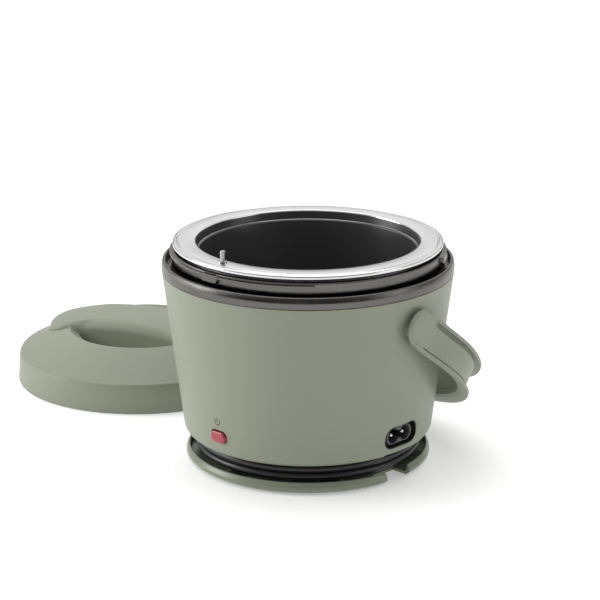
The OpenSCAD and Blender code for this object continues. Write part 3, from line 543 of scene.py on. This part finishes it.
sleeve_angles = circle(144) + .01
sleeve_flange = (12, 6.3, 3)
inlet_sleeve = skin("inlet_sleeve", np.stack([
    at_x(x, outline(sleeve_angles, *box, grow)) for x, box, grow in (
        (48.8, sleeve_box, 0), (56.9, sleeve_box, 0), (56.92, sleeve_flange, 0),
        (58.9, sleeve_flange, 0), (58.92, sleeve_box, 0), (63.5, sleeve_box, 0),
        (64.05, sleeve_box, -.1), (64.3, sleeve_box, -.3), (64.4, sleeve_box, -.7))] + [
    at_x(x, figure_eight(sleeve_angles, grow)) for x, grow in (
        (64.4, .75), (64.3, .35), (64.1, .1), (63.7, 0), (50.8, 0), (50.8, -1.6))]))
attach(inlet_sleeve, "body")
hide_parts("inlet_housing")
black_moulding = moulded("black_moulding", (.015, .015, .016), .42, pebble=2600.0, depth=.12)
dress(moulded("sleeve_moulding", (.06, .06, .063), .36, pebble=2600.0, depth=.08), inlet_sleeve)

# A thin black cup, painted shade, lines the pressed sage tray, from just under its lip down to its
# floor.
cup_bore = outline(sleeve_angles, *sleeve_box, .15)
tray_shade_cup = skin("tray_shade_cup", np.stack([at_x(61.15, cup_bore)] + [
    at_x(x, outline(sleeve_angles, *tray_box, grow)) for x, grow in (
        (61.15, -.75), (61.3, -.42), (61.6, -.3), (65.4, -.3), (65.5, -.2), (65.4, -.06),
        (61.2, -.06), (60.9, -.5))] + [at_x(60.9, cup_bore)]), along=True)
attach(tray_shade_cup, "body")
dress(black_moulding, tray_shade_cup)


def brushed_round(tree, at, fineness):
    """Fine streaks that run round the Z axis, as tone and height, and broad dull clouds.
    The streaks' noise is read at the direction from the axis, which changes slowly,
    and at z + r, which changes fast."""
    part = node(tree, "SeparateXYZ", {0: at}).outputs
    flat = node(tree, "CombineXYZ", {0: part[0], 1: part[1], 2: 0.0}).outputs[0]
    around = node(tree, "VectorMath", {0: flat}, operation="NORMALIZE").outputs[0]
    radius = node(tree, "VectorMath", {0: flat}, operation="LENGTH").outputs["Value"]
    high = maths(tree, "MULTIPLY", maths(tree, "ADD", part[2], radius), fineness)
    lift = node(tree, "CombineXYZ", {0: 0.0, 1: 0.0, 2: high}).outputs[0]
    lines = node(tree, "VectorMath", {0: around, 1: (9.0, 9.0, 9.0), 2: lift},
                 operation="MULTIPLY_ADD").outputs[0]
    streak = noise(tree, lines, 1.0, 3.0, Roughness=.6)
    spots = maths(tree, "ADD", maths(tree, "ADD", streak, -.5), noise(tree, at, 40.0, 2.0))
    return streak, maths(tree, "ADD", spots, -.5), .2, streak, .0001


brushing = surface_group("brushed_round", brushed_round)


def brushed(name, colour, rough, streaks=.2, fineness=2600.0, cut=.1, **constants):
    """A metal brushed round its axis, with the tangent round it too where the gloss is
    drawn out along the streaks."""
    material = finish(name, brushing, colour, (streaks, fineness, cut, rough),
                      {"Metallic": 1.0, **constants})
    if "Anisotropic" in constants:
        tree = material.node_tree
        around = node(tree, "Tangent", direction_type="RADIAL", axis="Z").outputs[0]
        tree.links.new(around, tree.nodes["Principled BSDF"].inputs["Tangent"])
    return material


nickel = brushed("nickel_plate", (.72, .70, .66), .22, .08, 900.0, .04)
dress(nickel, "inlet_pin_1", "inlet_pin_2", "plug_blade_1", "plug_blade_2",
      "pivot_pin_right", "pivot_pin_left")

# ---- Lamp lens ----
# A clear red acrylic window, snapped into the shell from inside by its flange. Its
# face is slightly crowned and has fine upright prisms moulded behind it.
lens_angles = circle(96) + .01
lens_face = float(cone_r(lamp_z)) + 1.25
lens_flange, lens_window = (7.1, 5.3, 3), (5.15, 3.05, 2.75)
lens_rings = []
for depth, box, grow in (
        (-5.1, lens_flange, 0), (-3.9, lens_flange, 0), (-3.89, lens_window, 0),
        (-1.1, lens_window, 0), (-.62, lens_window, -.07), (-.25, lens_window, -.28),
        (-.07, lens_window, -.55), (0, lens_window, -.95), (.06, lens_window, -1.9),
        (.08, lens_window, -2.6)):
    ring_xz = outline(lens_angles, *box, grow)
    lens_rings.append(np.c_[ring_xz[:, 0], np.full(len(ring_xz), -lens_face - depth),
                            lamp_z - .25 + ring_xz[:, 1]])
lens = skin("lamp_window", np.stack(lens_rings))
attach(lens, "body")
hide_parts("power_lens")


def two_tone(tree, share, low, dark, high, light):
    """A colour that runs from dark at low to light at high."""
    ramp = node(tree, "ValToRGB", {0: share})
    for stop, place, colour in zip(ramp.color_ramp.elements, (low, high), (dark, light)):
        stop.position, stop.color = place, (*colour, 1)
    return ramp.outputs[0]


def prism_red():
    """Red acrylic: a wave across X gives the prisms' bright and dark bars, painted light on the
    red, and their height, and noise breaks them up."""
    material, tree, sockets = principled("red_acrylic", {
        "Roughness": .16, "Coat Weight": .6, "Coat Roughness": .06, "IOR": 1.49})
    at = node(tree, "TexCoord").outputs["Object"]
    bars = node(tree, "TexWave", {"Vector": at, "Scale": 210.0, "Distortion": 2.2, "Detail": 1.0},
                wave_type="BANDS", bands_direction="X")
    mix = maths(tree, "MULTIPLY", bars.outputs["Fac"], noise(tree, at, 260.0, 2.0))
    # The red runs from dark to light along the bars: the acrylic's own red, with painted glints
    # and shade of its prisms.
    red_and_painted_glints = two_tone(tree, mix, 0, (.27, .005, .014), .8, (.55, .045, .07))
    tree.links.new(red_and_painted_glints, sockets["Base Color"])
    tree.links.new(bumped(tree, mix, .25, .0002), sockets["Normal"])
    return material


dress(prism_red(), lens)

# The power mark above the lens, a ring with a gap and a bar, pad printed in black ink
# on the cone of the shell: each is a thin strip, carried round or up.
mark_z, mark_r, line_half = lamp_z + 8.2, 1.7, .24
across, proud = line_half * np.array([-1, 1, 1, -1]), np.array([-.05, -.05, .03, .03])
ring_turn = np.radians(np.linspace(125, 415, 48))[:, None]
bar_up = np.linspace(.1, 2.3, 4)[:, None]
for name, x, z in (("mark_ring", (mark_r + across) * np.cos(ring_turn),
                    mark_z + (mark_r + across) * np.sin(ring_turn)),
                   ("mark_bar", across + 0 * bar_up, mark_z + bar_up + 0 * across)):
    mark = skin(name, np.stack([x, -np.sqrt((cone_r(z) + proud) ** 2 - x * x), z], -1))
    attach(mark, "body")
    dress(black_moulding, mark)

# ---- Trim band and collar ----
# Two pressings of dark steel brushed round: the band closes the shell's top edge, and
# the collar inside it carries the thin thread ridges and lugs that hold the lid.
trim = turned("trim_ring", [(71.6, 102.68, .1), (76.3, 102.68, .3), (76.55, 105.4, 5),
                            (75.85, 108.8, .85), (74.3, 108.8, .25), (74.3, 103.8, .4),
                            (71.6, 103.8, .1)], 256)
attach(trim, "body")
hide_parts("trim_band")
collar_r, ridge_z, lug_z, catch_z = 71.0, 113.15, 112.3, 111.4
collar_outline = filleted([(69, 100.4, 0), (73.4, 100.4, .2), (73.4, 102.6, .2),
                           (collar_r, 102.6, .3), (collar_r, 114.8, .6), (63, 114.8, .3),
                           (63, 113.2, .2), (69, 113.2, 0)], 4)
# The wall gets rows of its own, close together at the ridges, and the columns are
# close together where the ridges and the lugs start and end.
wall_from = int(np.argmin(np.hypot(*(collar_outline - [collar_r, 102.9]).T))) + 1
wall_z = np.r_[np.linspace(104, 109.4, 6), np.linspace(109.6, 114.1, 50)]
collar_outline = np.vstack([collar_outline[:wall_from],
                            np.c_[np.full(len(wall_z), collar_r), wall_z],
                            collar_outline[wall_from:]])
collar_turns = np.unique(np.r_[np.linspace(-180, 180, 241)[:-1], np.concatenate(
    [a + np.r_[np.linspace(-60, -56, 15), np.linspace(-6, 12, 50), np.linspace(44, 48, 15)]
     for a in (-90, 30, 150)])])
collar_turns = np.unique(np.round((collar_turns + 180) % 360 - 180, 3))
z_wall, d_wall = np.meshgrid(collar_outline[:, 1], collar_turns, indexing="ij")


def raised(start, end, z_mid, half, corner, height, edge):
    """How far a raised patch lifts the wall: its rounded outline's signed distance,
    in mm round the wall and in height, eased over edge."""
    per_degree = collar_r * np.pi / 180
    s = ((d_wall - (start + end) / 2 + 180) % 360 - 180) * per_degree
    width = (end - start) / 2 * per_degree
    return height * ease(-box_distance(s, z_wall - z_mid, width, half, corner) / edge)


lift = np.zeros_like(z_wall)
for a, before in ((-90, 58), (30, 3), (150, 58)):
    ridge = raised(a - before, a + 46, ridge_z, .85, .84, 1.2, .3)
    lug = raised(a - 4.5, a + 4.5, lug_z, 2.2, 1.1, 1.9, .45)
    lift = np.maximum(lift, np.maximum(ridge, lug)) - raised(a + 6.0, a + 8.4, catch_z, 1.45,
                                                             1.4, 1.3, .3)
on_wall = (np.abs(collar_outline[:, 0] - collar_r) < .01)[:, None]
r_wall, a_wall = collar_outline[:, :1] + np.where(on_wall, lift, 0), np.radians(d_wall)
collar = skin("collar_ring", np.stack([r_wall * np.cos(a_wall), r_wall * np.sin(a_wall), z_wall],
                                      -1), along=True)
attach(collar, "body")
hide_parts("threaded_collar")
dress(brushed("dark_brushed_steel", (.135, .130, .121), .27, .35, 2600.0, .15, Anisotropic=.85),
      trim, collar)

# ---- Heated well and gasket ----
# The well is spun aluminium with fine rings from the spinning, and its flange hangs
# on the collar. A black silicone gasket lies on the flange, under the container's rim.
spun = brushed("spun_aluminium", (.62, .62, .62), .34, .25, 1400.0, .25)
dress(spun, "heating_well")
rubber = moulded("black_silicone", (.018, .018, .018), .62, pebble=1300.0, depth=.2)
gasket = turned("rim_gasket", [(62.2, 116.1, .2), (66.6, 116.1, .2), (69.0, 115.2, .3),
                               (69.2, 116.4, .4), (67.1, 117.2, .3), (62.2, 117.2, .2)])
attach(gasket, "body")
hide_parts("well_gasket")
dress(rubber, gasket, "foot_centre", "foot_1", "foot_2", "foot_3", "foot_4")

# ---- Food container ----
# A deep-drawn stainless pan: a wide flat rim with a shallow groove and a rolled edge,
# and a bead under its mouth. The inside has a dark, satin non-stick coat.
pan = turned("pan_steel", [
    (0, 55.3, 0), (53.2, 55.3, 9.5), (59.6, 117.3, .6), (69.3, 117.3, .3), (69.3, 116.5, .3),
    (70.5, 116.5, .3), (70.5, 118.15, .8), (69.3, 118.5, .5), (68.75, 118.5, .15),
    (68.35, 118.12, .2), (67.9, 118.12, .2), (67.5, 118.5, .2), (58.5, 118.5, .9),
    (57.9, 113.9, .5), (57.0, 113.1, .5), (56.2, 106, 0), (52.0, 56.5, 9), (0, 56.5, 0)], 256)
lining = turned("pan_coat", [
    (58.38, 117.6, .05), (57.8, 113.8, .6), (56.85, 113.0, .6), (56.05, 106, 0), (51.8, 56.75, 9),
    (0, 56.75, 0), (0, 56.6, 0), (51.95, 56.6, 9), (56.2, 106, 0), (57.0, 113.1, .6),
    (57.95, 113.9, .6), (58.5, 117.7, .05)], 256)
for piece in (pan, lining):
    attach(piece, "container")
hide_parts("food_container")
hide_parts("food_container")
dress(brushed("satin_stainless", (.66, .66, .66), .20, .10, 2200.0, .05), pan)
pin_low, pin_high = (np.array(c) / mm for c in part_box("locating_pin"))
pin_top = float(pin_high[2])
pin = turned("rim_pin", [(0, 117.9, 0), (2.3, 117.9, .1), (2.3, 119.2, .25), (1.35, 119.2, .15),
                         (1.35, pin_top, .6), (0, pin_top, 0)], 48,
             at=lambda g: g + [*((pin_low + pin_high)[:2] / 2), 0])
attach(pin, "container")
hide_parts("locating_pin")
dress(moulded("polished_pin", (.42, .42, .42), .24, pebble=900.0, depth=.02, Metallic=1.0), pin)
dress(moulded("nonstick_coat", (.045, .045, .046), .30, blotch=.15, pebble=3200.0, depth=.1,
              Coat_Weight=.3, Coat_Roughness=.25), lining)

# ---- Lid ----
# An injection-moulded cap: an upright skirt, a low dome, a round hollow for the
# fingers, and a bar across it to grip. It lies on the table beside the body.
lid_x, lid_y, lid_turn = -160.5, 29.0, 18.0
dome_r, dome_edge, dome_rise, dome_power = 70.9, 17.2, 20.0, 1.1
scoop_r, scoop_floor, crease_at, bowl_at, band_drop = 42.6, 17.2, .88, .74, 3.0
bar_half, bar_side, bar_corner, bar_edge = 58.5, 20.5, 17.5, 5.5
bar_arc, bar_peak, bar_camber, lid_wall = 190.0, 38.1, 2.4, 1.6


def lid_place(grid):
    """From the lid's own frame, bar along X, to where it lies on the table."""
    c, s = np.cos(np.radians(lid_turn)), np.sin(np.radians(lid_turn))
    return grid @ [[c, s, 0], [-s, c, 0], [0, 0, 1]] + [lid_x, lid_y, 0]


def lid_top(x, y):
    """Height of the lid's skin: a dome, edge + rise (1 - s^2)^power for the radius share
    s, level inside the hollow's rim, less the hollow, which is a sloped band to a
    crease and then a bowl."""
    share = np.clip((x * x + y * y) / dome_r ** 2, (scoop_r / dome_r) ** 2, 1)
    high = dome_edge + dome_rise * (1 - share) ** dome_power
    inside = np.hypot(x, y) / scoop_r
    band = band_drop * np.clip((1 - inside) / (1 - crease_at), 0, 1)
    bowl = np.clip((crease_at - inside) / (crease_at - bowl_at), 0, 1)
    return scoop_floor + (high - band - scoop_floor) * (1 - bowl) ** 2


def lid_grid():
    """Rings from the middle of the lid out over its hollow and dome, down the skirt,
    and back up inside it, a wall lower."""
    heading = np.c_[np.cos(circle(240)), np.sin(circle(240))]
    hollow = scoop_r * np.array([0, .25, .45, .6, .70, .735, .742, .75, .765, .785, .805, .825,
                                 .845, .86, .872, .878, .882, .89, .91, .94, .97, .99, .997, 1.0,
                                 1.003, 1.015])
    dome = dome_r * np.array([.63, .66, .70, .75, .80, .84, .87, .895, .92, .94, .96, .975, .986,
                              .994, .998, 1])
    flat = np.r_[hollow, dome][:, None, None] * heading
    top = np.dstack([flat, lid_top(flat[..., 0], flat[..., 1])])
    skirt_r, skirt_z = np.array([
        (71.3, 17.0), (71.75, 16.5), (72.1, 15.8), (72.3, 14.8), (72.5, 12), (72.9, 5),
        (73.2, 1.2), (73.13, .55), (72.85, .15), (72.4, .0), (72.0, .1), (71.8, .5), (71.8, 12),
        (71.5, 13.8), (70.6, 14.9)]).T
    sides = np.dstack([skirt_r[:, None, None] * heading,
                       np.repeat(skirt_z[:, None], len(heading), 1)])
    return np.concatenate([top, sides, top[:len(hollow) + 12][::-1] - [0, 0, lid_wall]])


lid_skin = skin("lid_skin", lid_place(lid_grid()), ends=False, sharp=40)
bar_angle = circle(240) + .005
bar_angle = np.arctan2(bar_side * np.sin(bar_angle), bar_half * np.cos(bar_angle))


def bar_crown(x, y):
    """Top of the bar: an arc of radius bar_arc along it, and a slight camber across."""
    return (bar_peak - bar_arc + np.sqrt(bar_arc ** 2 - x * x)
            - bar_camber * (y / bar_side) ** 2)


def bar_outline(grow):
    """The bar's rounded outline in plan, let out or taken in by grow."""
    return outline(bar_angle, bar_half, bar_side, bar_corner, grow)


def bar_grid():
    """Rings of the bar's outline: a flare on the skin, the upright side, a soft edge
    whose radius is at most bar_edge and less at the low ends, and the crown."""
    foot, count = bar_outline(0), 18
    base = np.maximum(lid_top(*foot.T), lid_top(*(foot * 1.03).T))
    soft = np.minimum(bar_edge, .66 * (bar_crown(*foot.T) - base))
    rings = [np.c_[foot * .9, np.full(len(foot), 16.2)]]
    for grow, rise in ((1.2, -.25), (.6, .15), (.2, .7), (0, 1.5)):
        rings.append(np.c_[bar_outline(grow), base + rise * soft / bar_edge])
    taken_in = np.stack([bar_outline(-g) for g in np.linspace(0, bar_edge, count)])
    k = np.arange(len(foot))
    for q in np.radians(np.linspace(0, 90, 9)):
        at = soft * (1 - np.cos(q)) / bar_edge * (count - 1)
        low = np.clip(at.astype(int), 0, count - 2)
        share = (at - low)[:, None]
        point = taken_in[low, k] * (1 - share) + taken_in[low + 1, k] * share
        rings.append(np.c_[point, bar_crown(*point.T) - soft * (1 - np.sin(q))])
    edge = rings[-1][:, :2]
    spine = np.c_[np.clip(edge[:, 0], -44, 44), np.zeros(len(edge))]
    for t in (.3, .6, .85, 1):
        point = edge + (spine - edge) * t
        rings.append(np.c_[point, bar_crown(*point.T)])
    return np.stack(rings)


grip_bar = skin("lid_bar", lid_place(bar_grid()), sharp=50)
for piece in (lid_skin, grip_bar):
    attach(piece, "lid")
    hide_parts("lid_shell")
sage_moulding = moulded("sage_moulding", sage_colour, .50, blotch=.05, pebble=1500.0, depth=.08)
dress(sage_moulding, lid_skin, grip_bar)
dress(moulded("liner_moulding", (.36, .36, .34), .5, pebble=1500.0, depth=.1), "lid_liner")
dress(moulded("pale_silicone", (.46, .46, .44), .6, pebble=1200.0, depth=.15), "lid_seal")

# ---- Handle ----
# A moulded bail of channel section: flat round ears on the pivots, a step where the
# channel starts, two flanges and a web, and a seat for the grip's insert inside.
half_out, half_in, reach_out, reach_in, arch_u = 83.5, 80.3, 107.0, 93.0, 23.5
ear_half, ear_bevel, step_r, seat_deep, seat_from = 10.0, 1.75, 9.6, 1.4, 12
fold_angle = 38.5


def rail(tau, half, reach):
    """A side of the arch as [x, u]: straight up to u = arch_u, then an ellipse, with the
    ears standing in by an eased 3.5 mm."""
    a = np.maximum(tau, 0) / half_out
    u = arch_u + np.minimum(tau, 0) + (reach - arch_u) * np.sin(a)
    x = half * np.cos(a) - 3.5 * (1 - ease((u - 4) / 40)) * (a < np.pi / 2 - 1e-6)
    return x, u


def fold_down(x, u, n):
    """From the handle's own plane to where it hangs, fold_angle below level."""
    c, s = np.cos(np.radians(fold_angle)), np.sin(np.radians(fold_angle))
    return np.stack([x, u * c + n * s, pivot_z - u * s + n * c], -1)


def section():
    """Columns round the section, as arrays: which side, the distance from that side (or
    from the middle for the seat) in mm, the depth in shares or mm, and the zone."""
    face = [(e, d, "out") for e, d in ((0, .5), (.15, .15), (.5, 0), (1.1, 0), (1.7, 0),
                                       (1.88, .07), (1.95, .25))]
    face += [(1.95, -.25, "web"), (2.03, -.08, "web")]
    face += [(e, 0, "web") for e in (2.3, 2.8, 3.4, 3.7, 4.05, 4.4, 4.75, 5.5, 7.0, 8.4)]
    back = [(e, d, "in") for e, d in ((0, .55), (.16, .16), (.55, 0), (1.6, 0), (2.9, 0))]
    back += [(5.75, 0, "flat"), (5.7, 0, "flat")] + [(e, seat_deep, "seat") for e in (5.7, 3, 0)]
    columns = [(-1, *c) for c in face] + [(1, *c) for c in face[::-1] + back]
    columns += [(-1, *c) for c in back[-2::-1]]
    return [np.array(v) for v in zip(*columns)]


def bail_rows():
    """Rows along the bail, as arrays: kind, place, and how far the edge's round has gone
    (round end) or whether the channel is open (1)."""
    rows = [("end", 0, .5), ("end", 0, .42), ("end", .2, .31), ("end", 1.4, .04),
            ("end", ear_bevel, 0)]
    rows += [("ear", k / 6, 0) for k in range(1, 7)] + [("step", 0, 0), ("step", .3, 1)]
    rows += [("past", k / 6, 1) for k in range(1, 7)]
    rows += [("path", t, 1) for t in (-8, -4.5, -1.5, 0, 4, 8, seat_from - .1, seat_from)]
    rows += [("path", t, 1) for t in np.linspace(15, half_out * np.pi / 2, 44)]
    return [np.array(v)[:, None] for v in zip(*rows)]


def handle_grid():
    """Rows by columns: the width n across and the height u on the ear come from the
    round end, the arc of the step or the path, and the depth from the section. The
    web starts .6 mm under the ear, sinks along the arch, and has a deep groove at the
    upper flange and a fine one at the lower. The other half is the mirror image."""
    side, e, d, zone = section()
    kind, place, amount = bail_rows()
    path, end, in_seat = kind == "path", kind == "end", (zone == "flat") | (zone == "seat")
    middle = rail(np.where(path, place, -15.0), half_out, reach_out)[1]
    width = ear_half - np.where(path, 1.5 * np.maximum(middle, 0) / 112, 0)
    n = side * np.where(in_seat, e, width - e)
    ring_r = ear_half - np.where(end, place, ear_bevel)
    cap_u = -np.sqrt(np.maximum(ring_r ** 2 - n ** 2, 0))
    arc_u = np.sqrt(step_r ** 2 - np.minimum(np.abs(n), 7.8) ** 2)
    u = np.select([end, kind == "ear", kind == "step"],
                  [cap_u, cap_u + (arc_u - .02 - cap_u) * place, arc_u + place],
                  arc_u + .3 + (13.0 - arc_u - .3) * place)
    tau = np.where(path, place, u - arch_u)
    (xo, uo), (xi, ui) = rail(tau, half_out, reach_out), rail(tau, half_in, reach_in)
    thick = np.hypot(xo - xi, uo - ui)
    sunk = .6 + (thick - 4.85) * ease((tau + 15) / 60)
    room = np.maximum(thick - .7 - sunk, 0)
    groove = np.where(side > 0, np.minimum(2.6, room) * (1 - ease((e - 3.3) / 1.3)) *
                      ease((tau + 15.5) / 3), np.minimum(.8, room) * (1 - ease((e - 2.2) / .5)))
    web = np.maximum(sunk + groove + d, 0) / thick * (amount > 0)
    share = np.select([zone == "out", zone == "web", in_seat],
                      [d / thick, web, 1 - np.where(path & (place >= seat_from), d / thick, 0)],
                      1 - d / thick)
    end_share = np.where((zone == "out") | (zone == "web"), amount, 1 - amount)
    end_share = np.where(zone == "out", np.maximum(end_share, d / thick), end_share)
    share = np.where(end, end_share, share)
    half = np.stack(np.broadcast_arrays(xo + (xi - xo) * share, uo + (ui - uo) * share, n), -1)
    both = np.concatenate([half, half[-2::-1] * [-1, 1, 1]])
    return fold_down(both[..., 0], both[..., 1], both[..., 2])


handle_skin = skin("handle_bail", handle_grid(), ends=False, sharp=38)
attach(handle_skin, "handle")
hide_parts("handle", "ear_cap_right", "ear_cap_left")
dress(sage_moulding, handle_skin)
dress(moulded("insert_moulding", (.235, .262, .2), .55, pebble=1200.0, depth=.2), "grip_insert")
dress(black_moulding, "pivot_washer_right", "pivot_washer_left")

# ---- Base plate ----
# A moulded dish under the cord: a floor, a rolled rim with a notch under the inlet,
# and six ribs that hold the cord off the floor. Three screws hold it to the body.
notch_half, notch_x, disc_edge = 8.5, 53.2, 54.0
rim_r, rim_z = filleted([(53.6, .8, 0), (62.6, .8, .6), (65, 2.6, 1.2), (65, 4.3, .9),
                         (63.9, 6.4, .9), (63.1, 6.8, .3), (62.8, 6.3, .3), (62.8, 2.8, 1.0),
                         (53.6, 2.8, 0)], 6).T
rim_end = np.arcsin(notch_half / rim_r)
rim_angle = rim_end + (2 * np.pi - 2 * rim_end) * np.linspace(0, 1, 241)[:, None]


def capped(name, tubes):
    """Tubes of rows as one mesh, each with a flat face across each of its ends."""
    faces, start = [], 0
    for rows, size in (t.shape[:2] for t in tubes):
        end = start + rows * size
        faces += (quads(rows, size).reshape(-1, 4) + start).tolist()
        faces += [list(range(start, start + size)), list(range(end - size, end))]
        start = end
    return joined(name, np.concatenate([t.reshape(-1, 3) for t in tubes]), faces)


plate_rim = capped("plate_rim", [np.stack(np.broadcast_arrays(
    rim_r * np.cos(rim_angle), rim_r * np.sin(rim_angle), rim_z), -1)])
bevel = plate_rim.modifiers.new("soft_edges", "BEVEL")
bevel.width, bevel.segments, bevel.limit_method = .35 * mm, 2, "ANGLE"
bevel.angle_limit, bevel.harden_normals = np.radians(50), False
disc_angle = circle(240)
in_notch = (np.abs(disc_edge * np.sin(disc_angle)) < notch_half) & (np.cos(disc_angle) > 0)
disc_r = np.where(in_notch, notch_x / np.maximum(np.cos(disc_angle), .1), disc_edge)
disc_share, disc_z = np.array([(0, .8), (.5, .8), (.985, .8), (1, 1.1), (1, 2.5), (.985, 2.8),
                               (.5, 2.8), (0, 2.8)]).T[..., None]
plate_floor = skin("plate_floor", np.stack(np.broadcast_arrays(
    disc_r * disc_share * np.cos(disc_angle), disc_r * disc_share * np.sin(disc_angle),
    disc_z), -1), ends=False)
rib_across, rib_up = filleted([(-.6, 2.2, 0), (.6, 2.2, 0), (.5, 6.0, .35), (-.5, 6.0, .35)],
                              4).T
ribs = []
for turn in np.radians(30 + 60 * np.arange(6)):
    c, s = np.cos(turn), np.sin(turn)
    ribs.append(np.stack([
        np.c_[c * r - s * rib_across, s * r + c * rib_across, rib_up + rise * (rib_up > 4)]
        for r, rise in ((23.2, -.4), (23.8, 0), (40, 0), (61.6, 0), (62.4, .35), (63.0, .5))]))
plate_ribs = capped("plate_ribs", ribs)
for piece in (plate_rim, plate_floor, plate_ribs):
    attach(piece, "body")
    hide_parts("base_plate")
dress(sage_moulding, plate_floor, plate_ribs)
# The rim has the sage colour darkened a little, which is painted shade, and a glossier finish.
dress(moulded("shaded_rim_moulding", (.225, .245, .180), .30, blotch=.05, pebble=1500.0, depth=.04),
      plate_rim)

# ---- Parts inside and under the body ----
# The bottom cover, spool, heater, thermostat, fuse, leads, lamp and screws, seen only
# from below or when the container is out. Each has the finish of its own stock.
dress(black_moulding, "bottom_cover", "cord_spool", "thermostat", "lamp_holder")
dress(moulded("mica_sheet", (.21, .15, .075), .45, blotch=.5, pebble=500.0, depth=.3),
      "band_heater")
dress(moulded("glass_felt", (.6, .57, .46), .9, blotch=.25, pebble=1800.0, depth=.9),
      "insulation_sleeve", "inlet_leads")
dress(brushed("heater_steel", (.5, .49, .48), .35, .3, 900.0, .2), "heater_plate", "heater_strap",
      "thermal_fuse", "standoff_1", "standoff_2", "standoff_3")
dress(nickel, "cover_screw_1", "cover_screw_2", "cover_screw_3",
      "base_screw_1", "base_screw_2", "base_screw_3")
dress(moulded("lamp_glass", (.8, .45, .3), .12, pebble=600.0, depth=.02,
              Transmission_Weight=.6), "pilot_lamp")

# ---- Floor and light ----
# A plain pale floor, and the soft light of a studio: a sky that brightens upwards and
# towards the back left, a broad panel overhead, a strong one at the left and a weak
# one at the right.
floor_mesh = bpy.data.meshes.new("floor")
floor_mesh.from_pydata([(-9, -9, 0), (9, -9, 0), (9, 9, 0), (-9, 9, 0)], [], [(0, 1, 2, 3)])
floor = bpy.data.objects.new("floor", floor_mesh)
bpy.context.scene.collection.objects.link(floor)
dress(moulded("pale_floor", (.93, .93, .93), .9, blotch=.0, depth=.0, Specular_IOR_Level=.0,
              Emission_Color=(1, 1, 1, 1), Emission_Strength=.29), floor)
world = bpy.data.worlds.new("studio")
bpy.context.scene.world = world
world.use_nodes = True
tree = world.node_tree
toward = node(tree, "TexCoord").outputs["Generated"]
high = node(tree, "SeparateXYZ", {0: toward}).outputs[2]
sky = two_tone(tree, high, .10, (.10, .10, .10), .27, (1.0, 1.0, 1.0))
back_left = node(tree, "VectorMath", {0: toward, 1: (-.68, .62, .0)},
                 operation="DOT_PRODUCT").outputs["Value"]
share = node(tree, "MapRange", {0: back_left, 1: -.9, 2: .9, 3: .18, 4: 1.10})
tree.links.new(scaled(tree, sky, share.outputs[0]), tree.nodes["Background"].inputs["Color"])
tree.nodes["Background"].inputs["Strength"].default_value = 1.0


def panel(name, place, size, power):
    """A square area light that faces the middle of the object."""
    data = bpy.data.lights.new(name, "AREA")
    data.size, data.energy = size, power
    light = bpy.data.objects.new(name, data)
    light.location = place
    toward = Vector((0, 0, .06)) - Vector(place)
    light.rotation_euler = toward.to_track_quat("-Z", "Y").to_euler()
    bpy.context.scene.collection.objects.link(light)


panel("overhead", (-.35, .25, 2.0), 2.2, 18)
panel("left", (-1.7, -1.4, .7), 1.2, 25)
panel("right", (2.0, .9, .6), 1.0, 5)
bpy.context.scene.view_settings.view_transform = "Standard"
